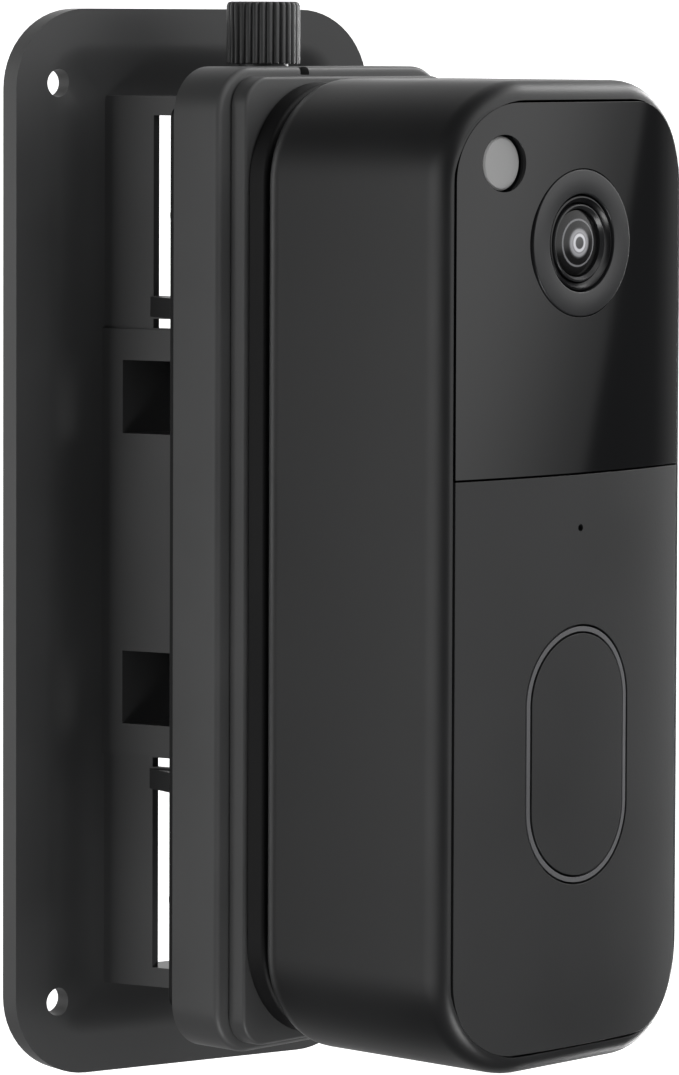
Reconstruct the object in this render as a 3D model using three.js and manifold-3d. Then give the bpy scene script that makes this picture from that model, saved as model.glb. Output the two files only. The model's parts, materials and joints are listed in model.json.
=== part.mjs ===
// Battery video doorbell on an adjustable wall mount.
// Millimetres, +Z up, the front faces -Y. The origin is the centre of the wall plate's back face.
//
// Every piece is drawn face on, in coordinates (across, up, forward): across is to the right as seen from
// the front, up is vertical, and forward points away from the wall. The wall group and the head group turn
// that drawing upright. In the head group, forward is measured from the hinge axis.

import * as THREE from "three";
import { mergeVertices } from "three/addons/utils/BufferGeometryUtils.js";
import Module from "manifold-3d";

const wasm = await Module();
wasm.setup();

// ---------------------------------------------------------------- driving dimensions

const GAP = 0.3; // between pieces that touch
const SCREW_PLAY = 0.35; // radius of a clearance hole over its screw
const SLIDE_PLAY = 0.35; // each side of a piece that slides or plugs in
const OVERCUT = 1; // how far a cutter stands past the face it cuts

// wall base
const PLATE = { width: 61.7, height: 160, thickness: 4, corner: 12 };
const WALL_HOLE = { radius: 2.1, fromSide: 7.4, fromEnd: 11.1 };
const DISH = { rim: 5, width: 9.4, floor: 1.8, corner: 3 };
const HUB = { height: 134, front: 17.7, wall: 1, endWall: 2, frontWall: 1.3 };
const HUB_BASE_HALF = 15.1; // half width where the flank leaves the plate
const HUB_FRONT_HALF = 5.3; // half width at the front of the hub
const HUB_DRAWN_IN = 0.6; // how far the flank curves in behind a straight line
const HUB_WAIST = { height: 64.2, extra: 0.4 }; // the slightly wider middle stretch
const WINDOW = { low: 16.4, high: 27.4, back: 4.7 };
const LONG_SLOT = { low: 37.1, high: 64.1, back: 8.9 };
const SHORT_SLOT = { low: 32.3, high: 33.7 };
const CROSSBAR = { halfWidth: 10.4, back: 8.5, front: 14.3 };

// hinge
const AXIS_FORWARD = 23.6; // hinge axis in front of the wall
const REST_TURN = 14.5; // degrees that the head is turned at rest
const BOLT_RADIUS = 2;
const KNUCKLE = { radius: 4.6, height: 121.2 };
const WASHER = { radius: 4.4, thickness: 0.7 };
const LUG = { radius: 5.4, thickness: 4.1, root: 9 };
const KNOB = { radius: 5.45, height: 9.2, flutes: 30, fluteDepth: 0.32, edge: 0.6 };
const KNOB_ABOVE_TRAY = 0.3;
const BOLT_IN_KNOB = 4.4;
const NUT_HEIGHT = 3.2;
const BOLT_BELOW_NUT = 0.9;

// head: back frame, tray, adapter plate and doorbell bracket, stacked forward from the axis
const YOKE = { halfWidth: 23.6, halfHeight: 66, corner: 2, back: 4, thickness: 1.2, border: 6.5 };
const TRAY = { halfWidth: 24.4, halfHeight: 71.6, corner: 7, depth: 9, wall: 2.4, face: 2.5, edge: 0.9 };
const TRAY_POST = { across: 20.2, up: 50, radius: 3 };
const PIN_NOTCH = { across: -6.4, width: 1.8, depth: 1.2, back: 1.7 };
const ADAPTER = { halfWidth: 22.1, halfHeight: 70.2, corner: 4.5, thickness: 3, edge: 0.5 };
const BRACKET = { halfWidth: 21.7, halfHeight: 69.4, corner: 14.5, thickness: 3.2, edge: 0.7 };
const FRAME_SCREW = { radius: 1.25, headRadius: 2.3, headHeight: 1.3, length: 6.5 };
const ADAPTER_SCREW = { radius: 1.25, headRadius: 2.3, headHeight: 1.2, length: 4.2 };
const ADAPTER_SCREW_AT = { across: 14, up: 55 };
const BRACKET_SCREW = { radius: 1.15, headRadius: 2.2, headHeight: 1.1, length: 4.5, up: 40 };
const GUIDE_TAB = { across: 11, low: -52, high: 30, width: 5, height: 3, reach: 2.2 };
const LATCH = { across: -6.4, width: 6, top: 65.4, height: 9, thickness: 1.7, noseHeight: 2.4, noseReach: 2.6 };
const LATCH_TRAVEL = 1.8;
const LATCH_POCKET_FLOOR = 1; // bracket left behind the latch pocket
const SPRING = { radius: 0.65, wire: 0.2, turns: 4, length: 6 };
const PIN_HOLE_RADIUS = 0.8;

// doorbell body, forward from the bracket
const BELL = { halfWidth: 25.8, halfHeight: 70, corner: 15, front: 62.4 };
const BELL_BACK = 23.8; // back plane of the shell, from the axis
const BACK_ROUND = 4; // rounding of the shell's back edge
const FRONT_ROUND = { depth: 3.6, side: 1.3, end: 2.7 }; // rounding of the shell's front edge
const CROWN_RISE = 2.4; // how far the face bows forward between its side edges
const SHELL_SIDE_WALL = 1.6;
const SHELL_END_WALL = 2.75;
const SHELL_CORNER_IN = 11.3;
const SHELL_BACK_WALL = 1.7;
const BACK_OPENING = { halfWidth: 15.5, halfHeight: 58, corner: 4 };
const BACK_COVER = { halfWidth: 19.6, halfHeight: 64, corner: 8, thickness: 3.2, proud: 1.8 };
const CASE_SCREW = { radius: 0.9, headRadius: 1.55, headHeight: 1, length: 3.7, across: 17.5, up: 45 };
const TERMINAL = { radius: 1, headRadius: 2.2, headHeight: 1, length: 3, across: 7, up: -46 };
const PORT = { halfWidth: 4.5, height: 3.2, depth: 7, up: -61 };
const PORT_MOUTH = { halfWidth: 4.2, height: 2.6 };

// front covers
const SEAM_UP = 14.5; // joint between the glass and the lower cover
const COVER_BACK = 56;
const COVER_INSIDE = { inset: 2, front: 58.6 };
const GLASS_BACK = 58.6;
const GASKET = { width: 2, thickness: 1.4 };
const MIC_HOLE = { up: 6.8, radius: 0.5 };

// button
const BUTTON = { up: -25.4, radius: 9.75, straight: 14.9, back: 58.2, stemRadius: 1.3 };
const LIGHT_RING = { width: 0.7, back: 57.4, sunk: 0.05 };
const BUTTON_TRAVEL = 0.6;
const SWITCH = { side: 6.2, height: 2.8, plungerRadius: 1.15, plungerReach: 0.8 };

// camera and sensors
const LENS = { up: 47.1, bezel: 10.4, bezelIn: 7, bezelBack: 57, edge: 0.2 };
const SHADE = { sunk: 0.2, lip: 0.2, step: 0.5, dish: 0.9, back: 57.5 };
const RETAINER = { radius: 5.5, inner: 4.9, front: 62, edge: 0.3, innerEdge: 0.7, back: 58.7 };
const LENS_GLASS = { radius: 4.6, front: 61.9, edge: 61.2, back: 57.6 };
const BARREL = { radius: 7, bore: 4, front: 57.1, back: 50.8 };
const SENSOR_BOARD = { side: 13.5, thickness: 1 };
const BOARD_EYE = 10.5; // radius of the main board's opening round the camera
const PIR = { across: -15.5, up: 58.5, hole: 4, disc: 3.4, front: 60.9, thickness: 1.3 };
const PIR_CAN = { radius: 3.4, front: 57.6 };
const IR_LED = { across: 14.5, up: 33, radius: 2.4, length: 5 };

// inside
const CELL = { radius: 9.1, length: 65, across: 9.8, forward: 37.6, low: -55 };
const HOLDER = { halfWidth: 20.6, endWall: 1.7, front: 33.5, play: 0.3, endPlay: 1.3 };
const MID_FRAME = { back: 47.6, thickness: 1.4, inset: 0.3 };
const BOARD = { halfWidth: 19.8, low: -40, high: 62.4, corner: 3, standOff: 1, thickness: 1.2 };
const MIC = { width: 3.8, height: 3, depth: 1.1 };
const RADIO = { across: 9, up: 20, side: 13, depth: 2 };
const SPEAKER = { up: -54, radius: 9.6, depth: 5.4, coneRadius: 7.6, coneDepth: 1.6 };
const SOUND_SLOT = { count: 5, pitch: 3.2, width: 1.2, low: 50, high: 55 };

// smoothness
const CORNER_STEPS = 6;
const ROUND_STEPS = 24;
const SMALL_STEPS = 12;
const CROWN_STEPS = 12;

// ---------------------------------------------------------------- derived places

const lugGap = GAP;
const knuckleTop = KNUCKLE.height / 2;
const washerLow = knuckleTop + lugGap;
const lugLow = washerLow + WASHER.thickness + lugGap;
const lugHigh = lugLow + LUG.thickness;
const knobLow = TRAY.halfHeight + KNOB_ABOVE_TRAY;
const boreRadius = BOLT_RADIUS + SCREW_PLAY;
const collarRadius = YOKE.back - GAP; // of the knob's collar and the nut, which turn behind the yoke

const trayBack = YOKE.back + YOKE.thickness + GAP;
const trayFront = trayBack + TRAY.depth;
const adapterBack = trayFront + GAP;
const adapterFront = adapterBack + ADAPTER.thickness;
const bracketBack = adapterFront + GAP;
const bracketFront = bracketBack + BRACKET.thickness;

const cavityBack = BELL_BACK + SHELL_BACK_WALL + SHELL_BACK_WALL;
const cavityHalfWidth = BELL.halfWidth - SHELL_SIDE_WALL;
const cavityHalfHeight = BELL.halfHeight - SHELL_END_WALL;
const coverHalfWidth = cavityHalfWidth - GAP;
const coverHalfHeight = cavityHalfHeight - GAP;
const coverCorner = SHELL_CORNER_IN - GAP;
const backCoverBack = BELL_BACK - BACK_COVER.proud;
const backCoverFront = backCoverBack + BACK_COVER.thickness;
const boardBack = MID_FRAME.back + MID_FRAME.thickness + BOARD.standOff;
const boardFront = boardBack + BOARD.thickness;
const onBoard = boardFront + GAP;

// ---------------------------------------------------------------- materials

function finish(color, roughness, metalness) {
  return new THREE.MeshStandardMaterial({ color, roughness, metalness });
}

const castBlack = finish(0x242527, 0.5, 0.3);
const trayBlack = finish(0x2b2c2e, 0.45, 0.3);
const satinBlack = finish(0x26272a, 0.48, 0);
const glassBlack = finish(0x101114, 0.06, 0);
const innerBlack = finish(0x18191b, 0.6, 0);
const lensBlack = finish(0x1b1c1f, 0.3, 0.2);
const clearGlass = finish(0x2a2f38, 0.02, 0);
const sensorWhite = finish(0xb9b9b4, 0.5, 0);
const lightRing = finish(0x8a8d90, 0.4, 0);
const steel = finish(0x9a9da1, 0.35, 0.9);
const brass = finish(0xb08d4a, 0.35, 0.9);
const rubber = finish(0x1a1a1a, 0.8, 0);
const circuitGreen = finish(0x1f4a35, 0.5, 0);
const cellBlue = finish(0x2f5f8f, 0.4, 0);

// ---------------------------------------------------------------- outlines

function corner(cx, cy, radius, from, steps) {
  const points = [];
  for (let i = 0; i <= steps; i++) {
    const angle = from + ((Math.PI / 2) * i) / steps;
    points.push(new THREE.Vector2(cx + radius * Math.cos(angle), cy + radius * Math.sin(angle)));
  }
  return points;
}

function roundedRect(halfWidth, halfHeight, radius, steps = CORNER_STEPS) {
  const x = halfWidth - radius;
  const y = halfHeight - radius;
  return [
    ...corner(x, y, radius, 0, steps),
    ...corner(-x, y, radius, Math.PI / 2, steps),
    ...corner(-x, -y, radius, Math.PI, steps),
    ...corner(x, -y, radius, 1.5 * Math.PI, steps),
  ];
}

function circle(radius, steps = ROUND_STEPS) {
  const points = [];
  for (let i = 0; i < steps; i++) {
    const angle = (2 * Math.PI * i) / steps;
    points.push(new THREE.Vector2(radius * Math.cos(angle), radius * Math.sin(angle)));
  }
  return points;
}

function pill(radius, straight) {
  const steps = ROUND_STEPS / 2;
  const points = [];
  for (let i = 0; i <= steps; i++) {
    const angle = (Math.PI * i) / steps;
    points.push(new THREE.Vector2(radius * Math.cos(angle), straight / 2 + radius * Math.sin(angle)));
  }
  for (let i = 0; i <= steps; i++) {
    const angle = Math.PI + (Math.PI * i) / steps;
    points.push(new THREE.Vector2(radius * Math.cos(angle), -straight / 2 + radius * Math.sin(angle)));
  }
  return points;
}

function fluted(radius, flutes, depth) {
  const points = [];
  for (let i = 0; i < flutes * 2; i++) {
    const angle = (Math.PI * i) / flutes;
    const r = i % 2 ? radius - depth : radius;
    points.push(new THREE.Vector2(r * Math.cos(angle), r * Math.sin(angle)));
  }
  return points;
}

// A left-hand run of (across, forward) points with its mirror image, as one closed outline.
function mirrored(left) {
  const right = left.map(([x, y]) => [-x, y]).reverse();
  return [...left, ...right].map(([x, y]) => new THREE.Vector2(x, y));
}

// ---------------------------------------------------------------- solids

// A closed geometry as a manifold-3d solid that faces outwards.
function solid(geometry) {
  const bare = new THREE.BufferGeometry().setAttribute("position", geometry.getAttribute("position"));
  bare.setIndex(geometry.index);
  const merged = mergeVertices(bare, 1e-4);
  const index = merged.index.array;
  const triangles = [];
  for (let i = 0; i < index.length; i += 3) {
    const [a, b, c] = [index[i], index[i + 1], index[i + 2]];
    if (a !== b && b !== c && a !== c) triangles.push(a, b, c);
  }
  const build = (list) =>
    new wasm.Manifold(
      new wasm.Mesh({
        numProp: 3,
        vertProperties: new Float32Array(merged.attributes.position.array),
        triVerts: new Uint32Array(list),
      }),
    );
  const made = build(triangles);
  return made.volume() < 0 ? build(triangles.reverse()) : made;
}

function geometryOf(body) {
  const mesh = body.getMesh();
  const positions = new Float32Array(mesh.numVert * 3);
  for (let i = 0; i < mesh.numVert; i++) {
    positions.set(mesh.vertProperties.subarray(i * mesh.numProp, i * mesh.numProp + 3), i * 3);
  }
  const indexed = new THREE.BufferGeometry()
    .setAttribute("position", new THREE.BufferAttribute(positions, 3))
    .setIndex(new THREE.BufferAttribute(new Uint32Array(mesh.triVerts), 1));
  const geometry = indexed.toNonIndexed();
  geometry.computeVertexNormals();
  return geometry;
}

function join(...bodies) {
  return bodies.reduce((a, b) => a.add(b));
}

function cut(body, ...tools) {
  return tools.reduce((a, b) => a.subtract(b), body);
}

// An outline pushed forward from one depth to another.
function plate(outline, back, front, across = 0, up = 0) {
  const geometry = new THREE.ExtrudeGeometry(new THREE.Shape(outline), {
    depth: front - back,
    bevelEnabled: false,
  });
  return solid(geometry.translate(across, up, back));
}

// Outlines with the same number of points, each at its own depth, skinned into one solid.
function loft(sections) {
  const count = sections[0].outline.length;
  const positions = sections.flatMap(({ outline, at }) => outline.flatMap((p) => [p.x, p.y, at]));
  const index = [];
  for (let s = 0; s + 1 < sections.length; s++) {
    for (let i = 0; i < count; i++) {
      const next = (i + 1) % count;
      const [a, b, c, d] = [s * count + i, s * count + next, (s + 1) * count + next, (s + 1) * count + i];
      index.push(a, b, c, a, c, d);
    }
  }
  const last = (sections.length - 1) * count;
  for (const [a, b, c] of THREE.ShapeUtils.triangulateShape(sections[0].outline, [])) index.push(c, b, a);
  for (const [a, b, c] of THREE.ShapeUtils.triangulateShape(sections.at(-1).outline, [])) {
    index.push(last + a, last + b, last + c);
  }
  const geometry = new THREE.BufferGeometry();
  geometry.setAttribute("position", new THREE.Float32BufferAttribute(positions, 3));
  geometry.setIndex(index);
  return solid(geometry);
}

// An (across, forward) outline raised from one height to another.
function column(outline, low, high) {
  const geometry = new THREE.ExtrudeGeometry(new THREE.Shape(outline), {
    depth: high - low,
    bevelEnabled: false,
  });
  return solid(geometry.rotateX(Math.PI / 2).translate(0, high, 0));
}

function block(left, right, low, high, back, front) {
  const geometry = new THREE.BoxGeometry(right - left, high - low, front - back);
  return solid(geometry.translate((left + right) / 2, (low + high) / 2, (back + front) / 2));
}

// A round bar that points forward.
function drum(radius, back, front, across = 0, up = 0, steps = ROUND_STEPS) {
  const geometry = new THREE.CylinderGeometry(radius, radius, front - back, steps);
  return solid(geometry.rotateX(Math.PI / 2).translate(across, up, (back + front) / 2));
}

// A round bar that stands upright.
function rod(radius, low, high, across = 0, forward = 0, steps = ROUND_STEPS) {
  const geometry = new THREE.CylinderGeometry(radius, radius, high - low, steps);
  return solid(geometry.translate(across, (low + high) / 2, forward));
}

// A closed (radius, forward) profile turned about a forward axis.
function turned(profile, across = 0, up = 0, steps = ROUND_STEPS) {
  const points = profile.map(([r, at]) => new THREE.Vector2(r, at));
  const geometry = new THREE.LatheGeometry(points, steps);
  return solid(geometry.rotateX(Math.PI / 2).translate(across, up, 0));
}

function ring(outer, inner, back, front, across = 0, up = 0, steps = ROUND_STEPS) {
  return cut(
    drum(outer, back, front, across, up, steps),
    drum(inner, back - OVERCUT, front + OVERCUT, across, up, steps),
  );
}

// ---------------------------------------------------------------- scene graph

const doorbell = new THREE.Group();
const wallGroup = new THREE.Group();
wallGroup.rotation.x = Math.PI / 2;
const swivel = new THREE.Group();
swivel.position.y = -AXIS_FORWARD;
swivel.rotation.z = THREE.MathUtils.degToRad(REST_TURN);
const headGroup = new THREE.Group();
headGroup.rotation.x = Math.PI / 2;
swivel.add(headGroup);
doorbell.add(wallGroup, swivel);

function add(group, name, body, material) {
  const mesh = new THREE.Mesh(geometryOf(body), material);
  mesh.name = name;
  group.add(mesh);
}

// A pan-head screw whose head rests at seat. side is +1 when the head faces forward, -1 when it faces back.
function screw({ radius, headRadius, headHeight, length }, across, up, seat, side = 1) {
  const top = seat + side * headHeight;
  return turned(
    [
      [0, seat - side * length],
      [radius, seat - side * length],
      [radius, seat],
      [headRadius, seat],
      [headRadius, seat + side * headHeight * 0.5],
      [headRadius * 0.7, top],
      [0, top],
    ],
    across,
    up,
    SMALL_STEPS,
  );
}

function fourCorners(across, up) {
  return [
    ["upper_left", -across, up],
    ["upper_right", across, up],
    ["lower_left", -across, -up],
    ["lower_right", across, -up],
  ];
}

// ---------------------------------------------------------------- wall base

// The flank's points between the plate and the hub's front, at depths that run evenly forward.
function flank(extra = 0, inset = 0) {
  const steps = 5;
  const back = DISH.floor - OVERCUT;
  const points = [];
  for (let i = 0; i <= steps; i++) {
    const t = i / steps;
    const straight = HUB_BASE_HALF + (HUB_FRONT_HALF - HUB_BASE_HALF) * t;
    const half = straight - HUB_DRAWN_IN * Math.sin(Math.PI * t) * (1 - t) + extra - inset;
    points.push([-half, back + (HUB.front - back) * t]);
  }
  return points;
}

function wallBase() {
  const outline = roundedRect(PLATE.width / 2, PLATE.height / 2, PLATE.corner);
  const dishSteps = 5;
  const dish = [];
  for (let i = 0; i <= dishSteps; i++) {
    const t = i / dishSteps;
    const inset = DISH.rim + DISH.width * (1 - t);
    const depth = PLATE.thickness - DISH.floor;
    const at = DISH.floor + (depth * (1 - Math.cos(Math.PI * t))) / 2;
    const radius = Math.max(PLATE.corner - inset, DISH.corner);
    dish.push({ outline: roundedRect(PLATE.width / 2 - inset, PLATE.height / 2 - inset, radius), at });
  }
  dish.push({ outline: dish.at(-1).outline, at: PLATE.thickness + OVERCUT });

  const half = HUB.height / 2;
  const hub = column(mirrored(flank()), -half, half);
  const waist = column(mirrored(flank(HUB_WAIST.extra)), -HUB_WAIST.height / 2, HUB_WAIST.height / 2);
  const crossbar = mirrored([
    [-CROSSBAR.halfWidth, CROSSBAR.back],
    [-CROSSBAR.halfWidth, CROSSBAR.front],
    [-HUB_FRONT_HALF, HUB.front],
  ]);
  const knuckle = [];
  const arcSteps = 12;
  for (let i = 0; i <= arcSteps; i++) {
    const angle = Math.PI - (Math.PI * i) / arcSteps;
    const forward = AXIS_FORWARD + KNUCKLE.radius * Math.sin(angle);
    knuckle.push(new THREE.Vector2(KNUCKLE.radius * Math.cos(angle), forward));
  }
  const neck = [
    new THREE.Vector2(HUB_FRONT_HALF, HUB.front - HUB.wall),
    new THREE.Vector2(-HUB_FRONT_HALF, HUB.front - HUB.wall),
    ...knuckle,
  ];

  const hollowLow = SHORT_SLOT.low - HUB.endWall;
  const hollowHigh = half - HUB.endWall;
  const hollowFront = HUB.front - HUB.frontWall;
  const hollowOutline = mirrored([
    [-(HUB_BASE_HALF - HUB.wall), -OVERCUT],
    ...flank(0, HUB.wall).filter(([, at]) => at < hollowFront - OVERCUT),
    [-(HUB_FRONT_HALF - HUB.wall + HUB.frontWall / 2), hollowFront],
  ]);
  const hollow = column(hollowOutline, hollowLow, hollowHigh);
  const lowerHollow = column(hollowOutline, -hollowHigh, -hollowLow);

  const through = HUB_BASE_HALF + PLATE.thickness;
  const sideCut = (low, high, back, front) => block(-through, through, low, high, back, front);
  const cuts = [1, -1].flatMap((side) => {
    const span = ({ low, high }) => (side > 0 ? [low, high] : [-high, -low]);
    return [
      sideCut(...span(WINDOW), WINDOW.back, hollowFront),
      sideCut(...span(LONG_SLOT), LONG_SLOT.back, hollowFront),
      sideCut(...span(SHORT_SLOT), LONG_SLOT.back, hollowFront),
    ];
  });
  const holeAcross = PLATE.width / 2 - WALL_HOLE.fromSide;
  const holeUp = PLATE.height / 2 - WALL_HOLE.fromEnd;
  const wallHoles = fourCorners(holeAcross, holeUp).map(([, x, y]) =>
    drum(WALL_HOLE.radius, -OVERCUT, PLATE.thickness + OVERCUT, x, y, 16),
  );

  const bars = [1, -1].map((side) => {
    const low = SHORT_SLOT.high + 0.3;
    const high = LONG_SLOT.low - 0.1;
    return column(crossbar, side > 0 ? low : -high, side > 0 ? high : -low);
  });
  const body = join(
    cut(plate(outline, 0, PLATE.thickness), loft(dish)),
    hub,
    waist,
    ...bars,
    column(neck, -knuckleTop, knuckleTop),
  );
  const bore = rod(boreRadius, -knuckleTop - OVERCUT, knuckleTop + OVERCUT, 0, AXIS_FORWARD);
  return cut(body, hollow, lowerHollow, ...cuts, ...wallHoles, bore);
}

function frictionWasher(low) {
  const disc = rod(WASHER.radius, low, low + WASHER.thickness, 0, AXIS_FORWARD);
  return cut(disc, rod(boreRadius, low - OVERCUT, low + WASHER.thickness + OVERCUT, 0, AXIS_FORWARD));
}

add(wallGroup, "wall_base", wallBase(), castBlack);
add(wallGroup, "friction_washer_upper", frictionWasher(washerLow), steel);
add(wallGroup, "friction_washer_lower", frictionWasher(-washerLow - WASHER.thickness), steel);

// ---------------------------------------------------------------- thumbscrew

function thumbKnob() {
  const outline = (shrink) => fluted(KNOB.radius - shrink, KNOB.flutes, KNOB.fluteDepth);
  const high = knobLow + KNOB.height;
  const grip = loft([
    { outline: outline(0), at: knobLow },
    { outline: outline(0), at: high - KNOB.edge },
    { outline: outline(KNOB.edge), at: high },
  ]);
  const upright = solid(geometryOf(grip).rotateX(-Math.PI / 2));
  const collar = rod(collarRadius, lugHigh + GAP, knobLow + KNOB.edge);
  const socket = rod(boreRadius, lugHigh - OVERCUT, knobLow + BOLT_IN_KNOB + GAP);
  return cut(join(upright, collar), socket);
}

function hingeNut() {
  const high = -(lugHigh + GAP);
  const hex = rod(collarRadius, high - NUT_HEIGHT, high, 0, 0, 6);
  return cut(hex, rod(boreRadius, high - NUT_HEIGHT - OVERCUT, high + OVERCUT));
}

const boltLow = -(lugHigh + GAP + NUT_HEIGHT + BOLT_BELOW_NUT);
add(headGroup, "thumb_knob", thumbKnob(), castBlack);
add(headGroup, "hinge_bolt", rod(BOLT_RADIUS, boltLow, knobLow + BOLT_IN_KNOB), steel);
add(headGroup, "hinge_nut", hingeNut(), steel);

// ---------------------------------------------------------------- swivel head

function lug(low, high) {
  const points = [
    new THREE.Vector2(LUG.root, YOKE.back + YOKE.thickness / 2),
    new THREE.Vector2(-LUG.root, YOKE.back + YOKE.thickness / 2),
    new THREE.Vector2(-LUG.root, YOKE.back),
  ];
  for (let i = 0; i <= SMALL_STEPS; i++) {
    const angle = Math.PI + (Math.PI * i) / SMALL_STEPS;
    points.push(new THREE.Vector2(LUG.radius * Math.cos(angle), LUG.radius * Math.sin(angle)));
  }
  points.push(new THREE.Vector2(LUG.root, YOKE.back));
  return column(points, low, high);
}

function swivelYoke() {
  const front = YOKE.back + YOKE.thickness;
  const sheet = plate(roundedRect(YOKE.halfWidth, YOKE.halfHeight, YOKE.corner), YOKE.back, front);
  const opening = plate(
    roundedRect(YOKE.halfWidth - YOKE.border, lugLow, YOKE.corner),
    YOKE.back - OVERCUT,
    front + OVERCUT,
  );
  const holes = fourCorners(TRAY_POST.across, TRAY_POST.up).map(([, x, y]) =>
    drum(FRAME_SCREW.radius + SCREW_PLAY, YOKE.back - OVERCUT, front + OVERCUT, x, y, SMALL_STEPS),
  );
  const bores = [
    rod(boreRadius, lugLow - OVERCUT, lugHigh + OVERCUT),
    rod(boreRadius, -lugHigh - OVERCUT, -lugLow + OVERCUT),
  ];
  const framed = cut(sheet, opening, ...holes);
  return cut(join(framed, lug(lugLow, lugHigh), lug(-lugHigh, -lugLow)), ...bores);
}

function swivelTray() {
  const { halfWidth, halfHeight, corner: radius, edge } = TRAY;
  const section = (inset, at) => ({
    outline: roundedRect(halfWidth - inset, halfHeight - inset, radius - inset),
    at,
  });
  const box = loft([
    section(0, trayBack),
    section(0, trayFront - edge),
    section(edge * 0.3, trayFront - edge * 0.3),
    section(edge, trayFront),
  ]);
  const hollowFront = trayFront - TRAY.face;
  const hollow = plate(
    roundedRect(halfWidth - TRAY.wall, halfHeight - TRAY.wall, radius - TRAY.wall),
    trayBack - OVERCUT,
    hollowFront,
  );
  const posts = fourCorners(TRAY_POST.across, TRAY_POST.up).map(([, x, y]) =>
    drum(TRAY_POST.radius, trayBack, hollowFront + OVERCUT, x, y, 16),
  );
  const postHoles = fourCorners(TRAY_POST.across, TRAY_POST.up).map(([, x, y]) =>
    drum(FRAME_SCREW.radius + SCREW_PLAY, trayBack - OVERCUT, hollowFront + 0.5, x, y, SMALL_STEPS),
  );
  const adapterHoles = fourCorners(ADAPTER_SCREW_AT.across, ADAPTER_SCREW_AT.up).map(([, x, y]) =>
    drum(ADAPTER_SCREW.radius + SCREW_PLAY, trayBack, trayFront + OVERCUT, x, y, SMALL_STEPS),
  );
  const notch = block(
    PIN_NOTCH.across - PIN_NOTCH.width / 2,
    PIN_NOTCH.across + PIN_NOTCH.width / 2,
    halfHeight - PIN_NOTCH.depth,
    halfHeight + OVERCUT,
    trayFront - PIN_NOTCH.back,
    trayFront + OVERCUT,
  );
  return cut(join(cut(box, hollow), ...posts), ...postHoles, ...adapterHoles, notch);
}

add(headGroup, "swivel_yoke", swivelYoke(), innerBlack);
add(headGroup, "swivel_tray", swivelTray(), trayBlack);
for (const [place, x, y] of fourCorners(TRAY_POST.across, TRAY_POST.up)) {
  add(headGroup, `yoke_screw_${place}`, screw(FRAME_SCREW, x, y, YOKE.back - GAP, -1), steel);
}

// ---------------------------------------------------------------- adapter plate

// A rounded slab with its front edge eased.
function easedSlab({ halfWidth, halfHeight, corner: radius, edge }, back, front) {
  const section = (inset, at) => ({
    outline: roundedRect(halfWidth - inset, halfHeight - inset, radius - inset),
    at,
  });
  return loft([section(0, back), section(0, front - edge), section(edge, front)]);
}

const adapterSeat = adapterFront - ADAPTER_SCREW.headHeight - GAP; // under the sunk screw heads

function adapterPlate() {
  const countersunk = fourCorners(ADAPTER_SCREW_AT.across, ADAPTER_SCREW_AT.up).flatMap(([, x, y]) => [
    drum(ADAPTER_SCREW.radius + SCREW_PLAY, adapterBack - OVERCUT, adapterFront, x, y, SMALL_STEPS),
    drum(ADAPTER_SCREW.headRadius + SCREW_PLAY, adapterSeat - GAP, adapterFront + OVERCUT, x, y, 16),
  ]);
  const bracketHoles = [1, -1].map((side) =>
    drum(
      BRACKET_SCREW.radius + SCREW_PLAY,
      adapterBack - OVERCUT,
      adapterFront + OVERCUT,
      0,
      side * BRACKET_SCREW.up,
      SMALL_STEPS,
    ),
  );
  return cut(easedSlab(ADAPTER, adapterBack, adapterFront), ...countersunk, ...bracketHoles);
}

add(headGroup, "adapter_plate", adapterPlate(), trayBlack);
for (const [place, x, y] of fourCorners(ADAPTER_SCREW_AT.across, ADAPTER_SCREW_AT.up)) {
  add(headGroup, `adapter_screw_${place}`, screw(ADAPTER_SCREW, x, y, adapterSeat), steel);
}

// ---------------------------------------------------------------- doorbell bracket and release latch

const bracketSeat = bracketFront - BRACKET_SCREW.headHeight - GAP;
const latchBack = bracketBack + LATCH_POCKET_FLOOR + GAP;
const latchFront = latchBack + LATCH.thickness;
const latchLow = LATCH.top - LATCH.height;
const springLow = latchLow - GAP - SPRING.length;
const guideTabs = [-1, 1].flatMap((side) => [
  [side * GUIDE_TAB.across, GUIDE_TAB.low],
  [side * GUIDE_TAB.across, GUIDE_TAB.high],
]);

function guideTab(x, y, play, back, front) {
  const halfWidth = GUIDE_TAB.width / 2 + play;
  const halfHeight = GUIDE_TAB.height / 2 + play;
  return block(x - halfWidth, x + halfWidth, y - halfHeight, y + halfHeight, back, front);
}

function bellBracket() {
  const pocket = block(
    LATCH.across - LATCH.width / 2 - SLIDE_PLAY,
    LATCH.across + LATCH.width / 2 + SLIDE_PLAY,
    springLow - GAP,
    LATCH.top + GAP,
    latchBack - GAP,
    bracketFront + OVERCUT,
  );
  const pinForward = (latchBack + latchFront) / 2;
  const pinHole = rod(PIN_HOLE_RADIUS, LATCH.top, BRACKET.halfHeight + OVERCUT, LATCH.across, pinForward, 8);
  const screwHoles = [1, -1].flatMap((side) => {
    const y = side * BRACKET_SCREW.up;
    return [
      drum(BRACKET_SCREW.radius + SCREW_PLAY, bracketBack - OVERCUT, bracketFront, 0, y, SMALL_STEPS),
      drum(BRACKET_SCREW.headRadius + SCREW_PLAY, bracketSeat - GAP, bracketFront + OVERCUT, 0, y, 16),
    ];
  });
  const tabs = guideTabs.map(([x, y]) => guideTab(x, y, 0, bracketFront - 0.5, bracketFront + GUIDE_TAB.reach));
  return cut(join(easedSlab(BRACKET, bracketBack, bracketFront), ...tabs), pocket, pinHole, ...screwHoles);
}

const noseFront = bracketFront + LATCH.noseReach;

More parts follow.
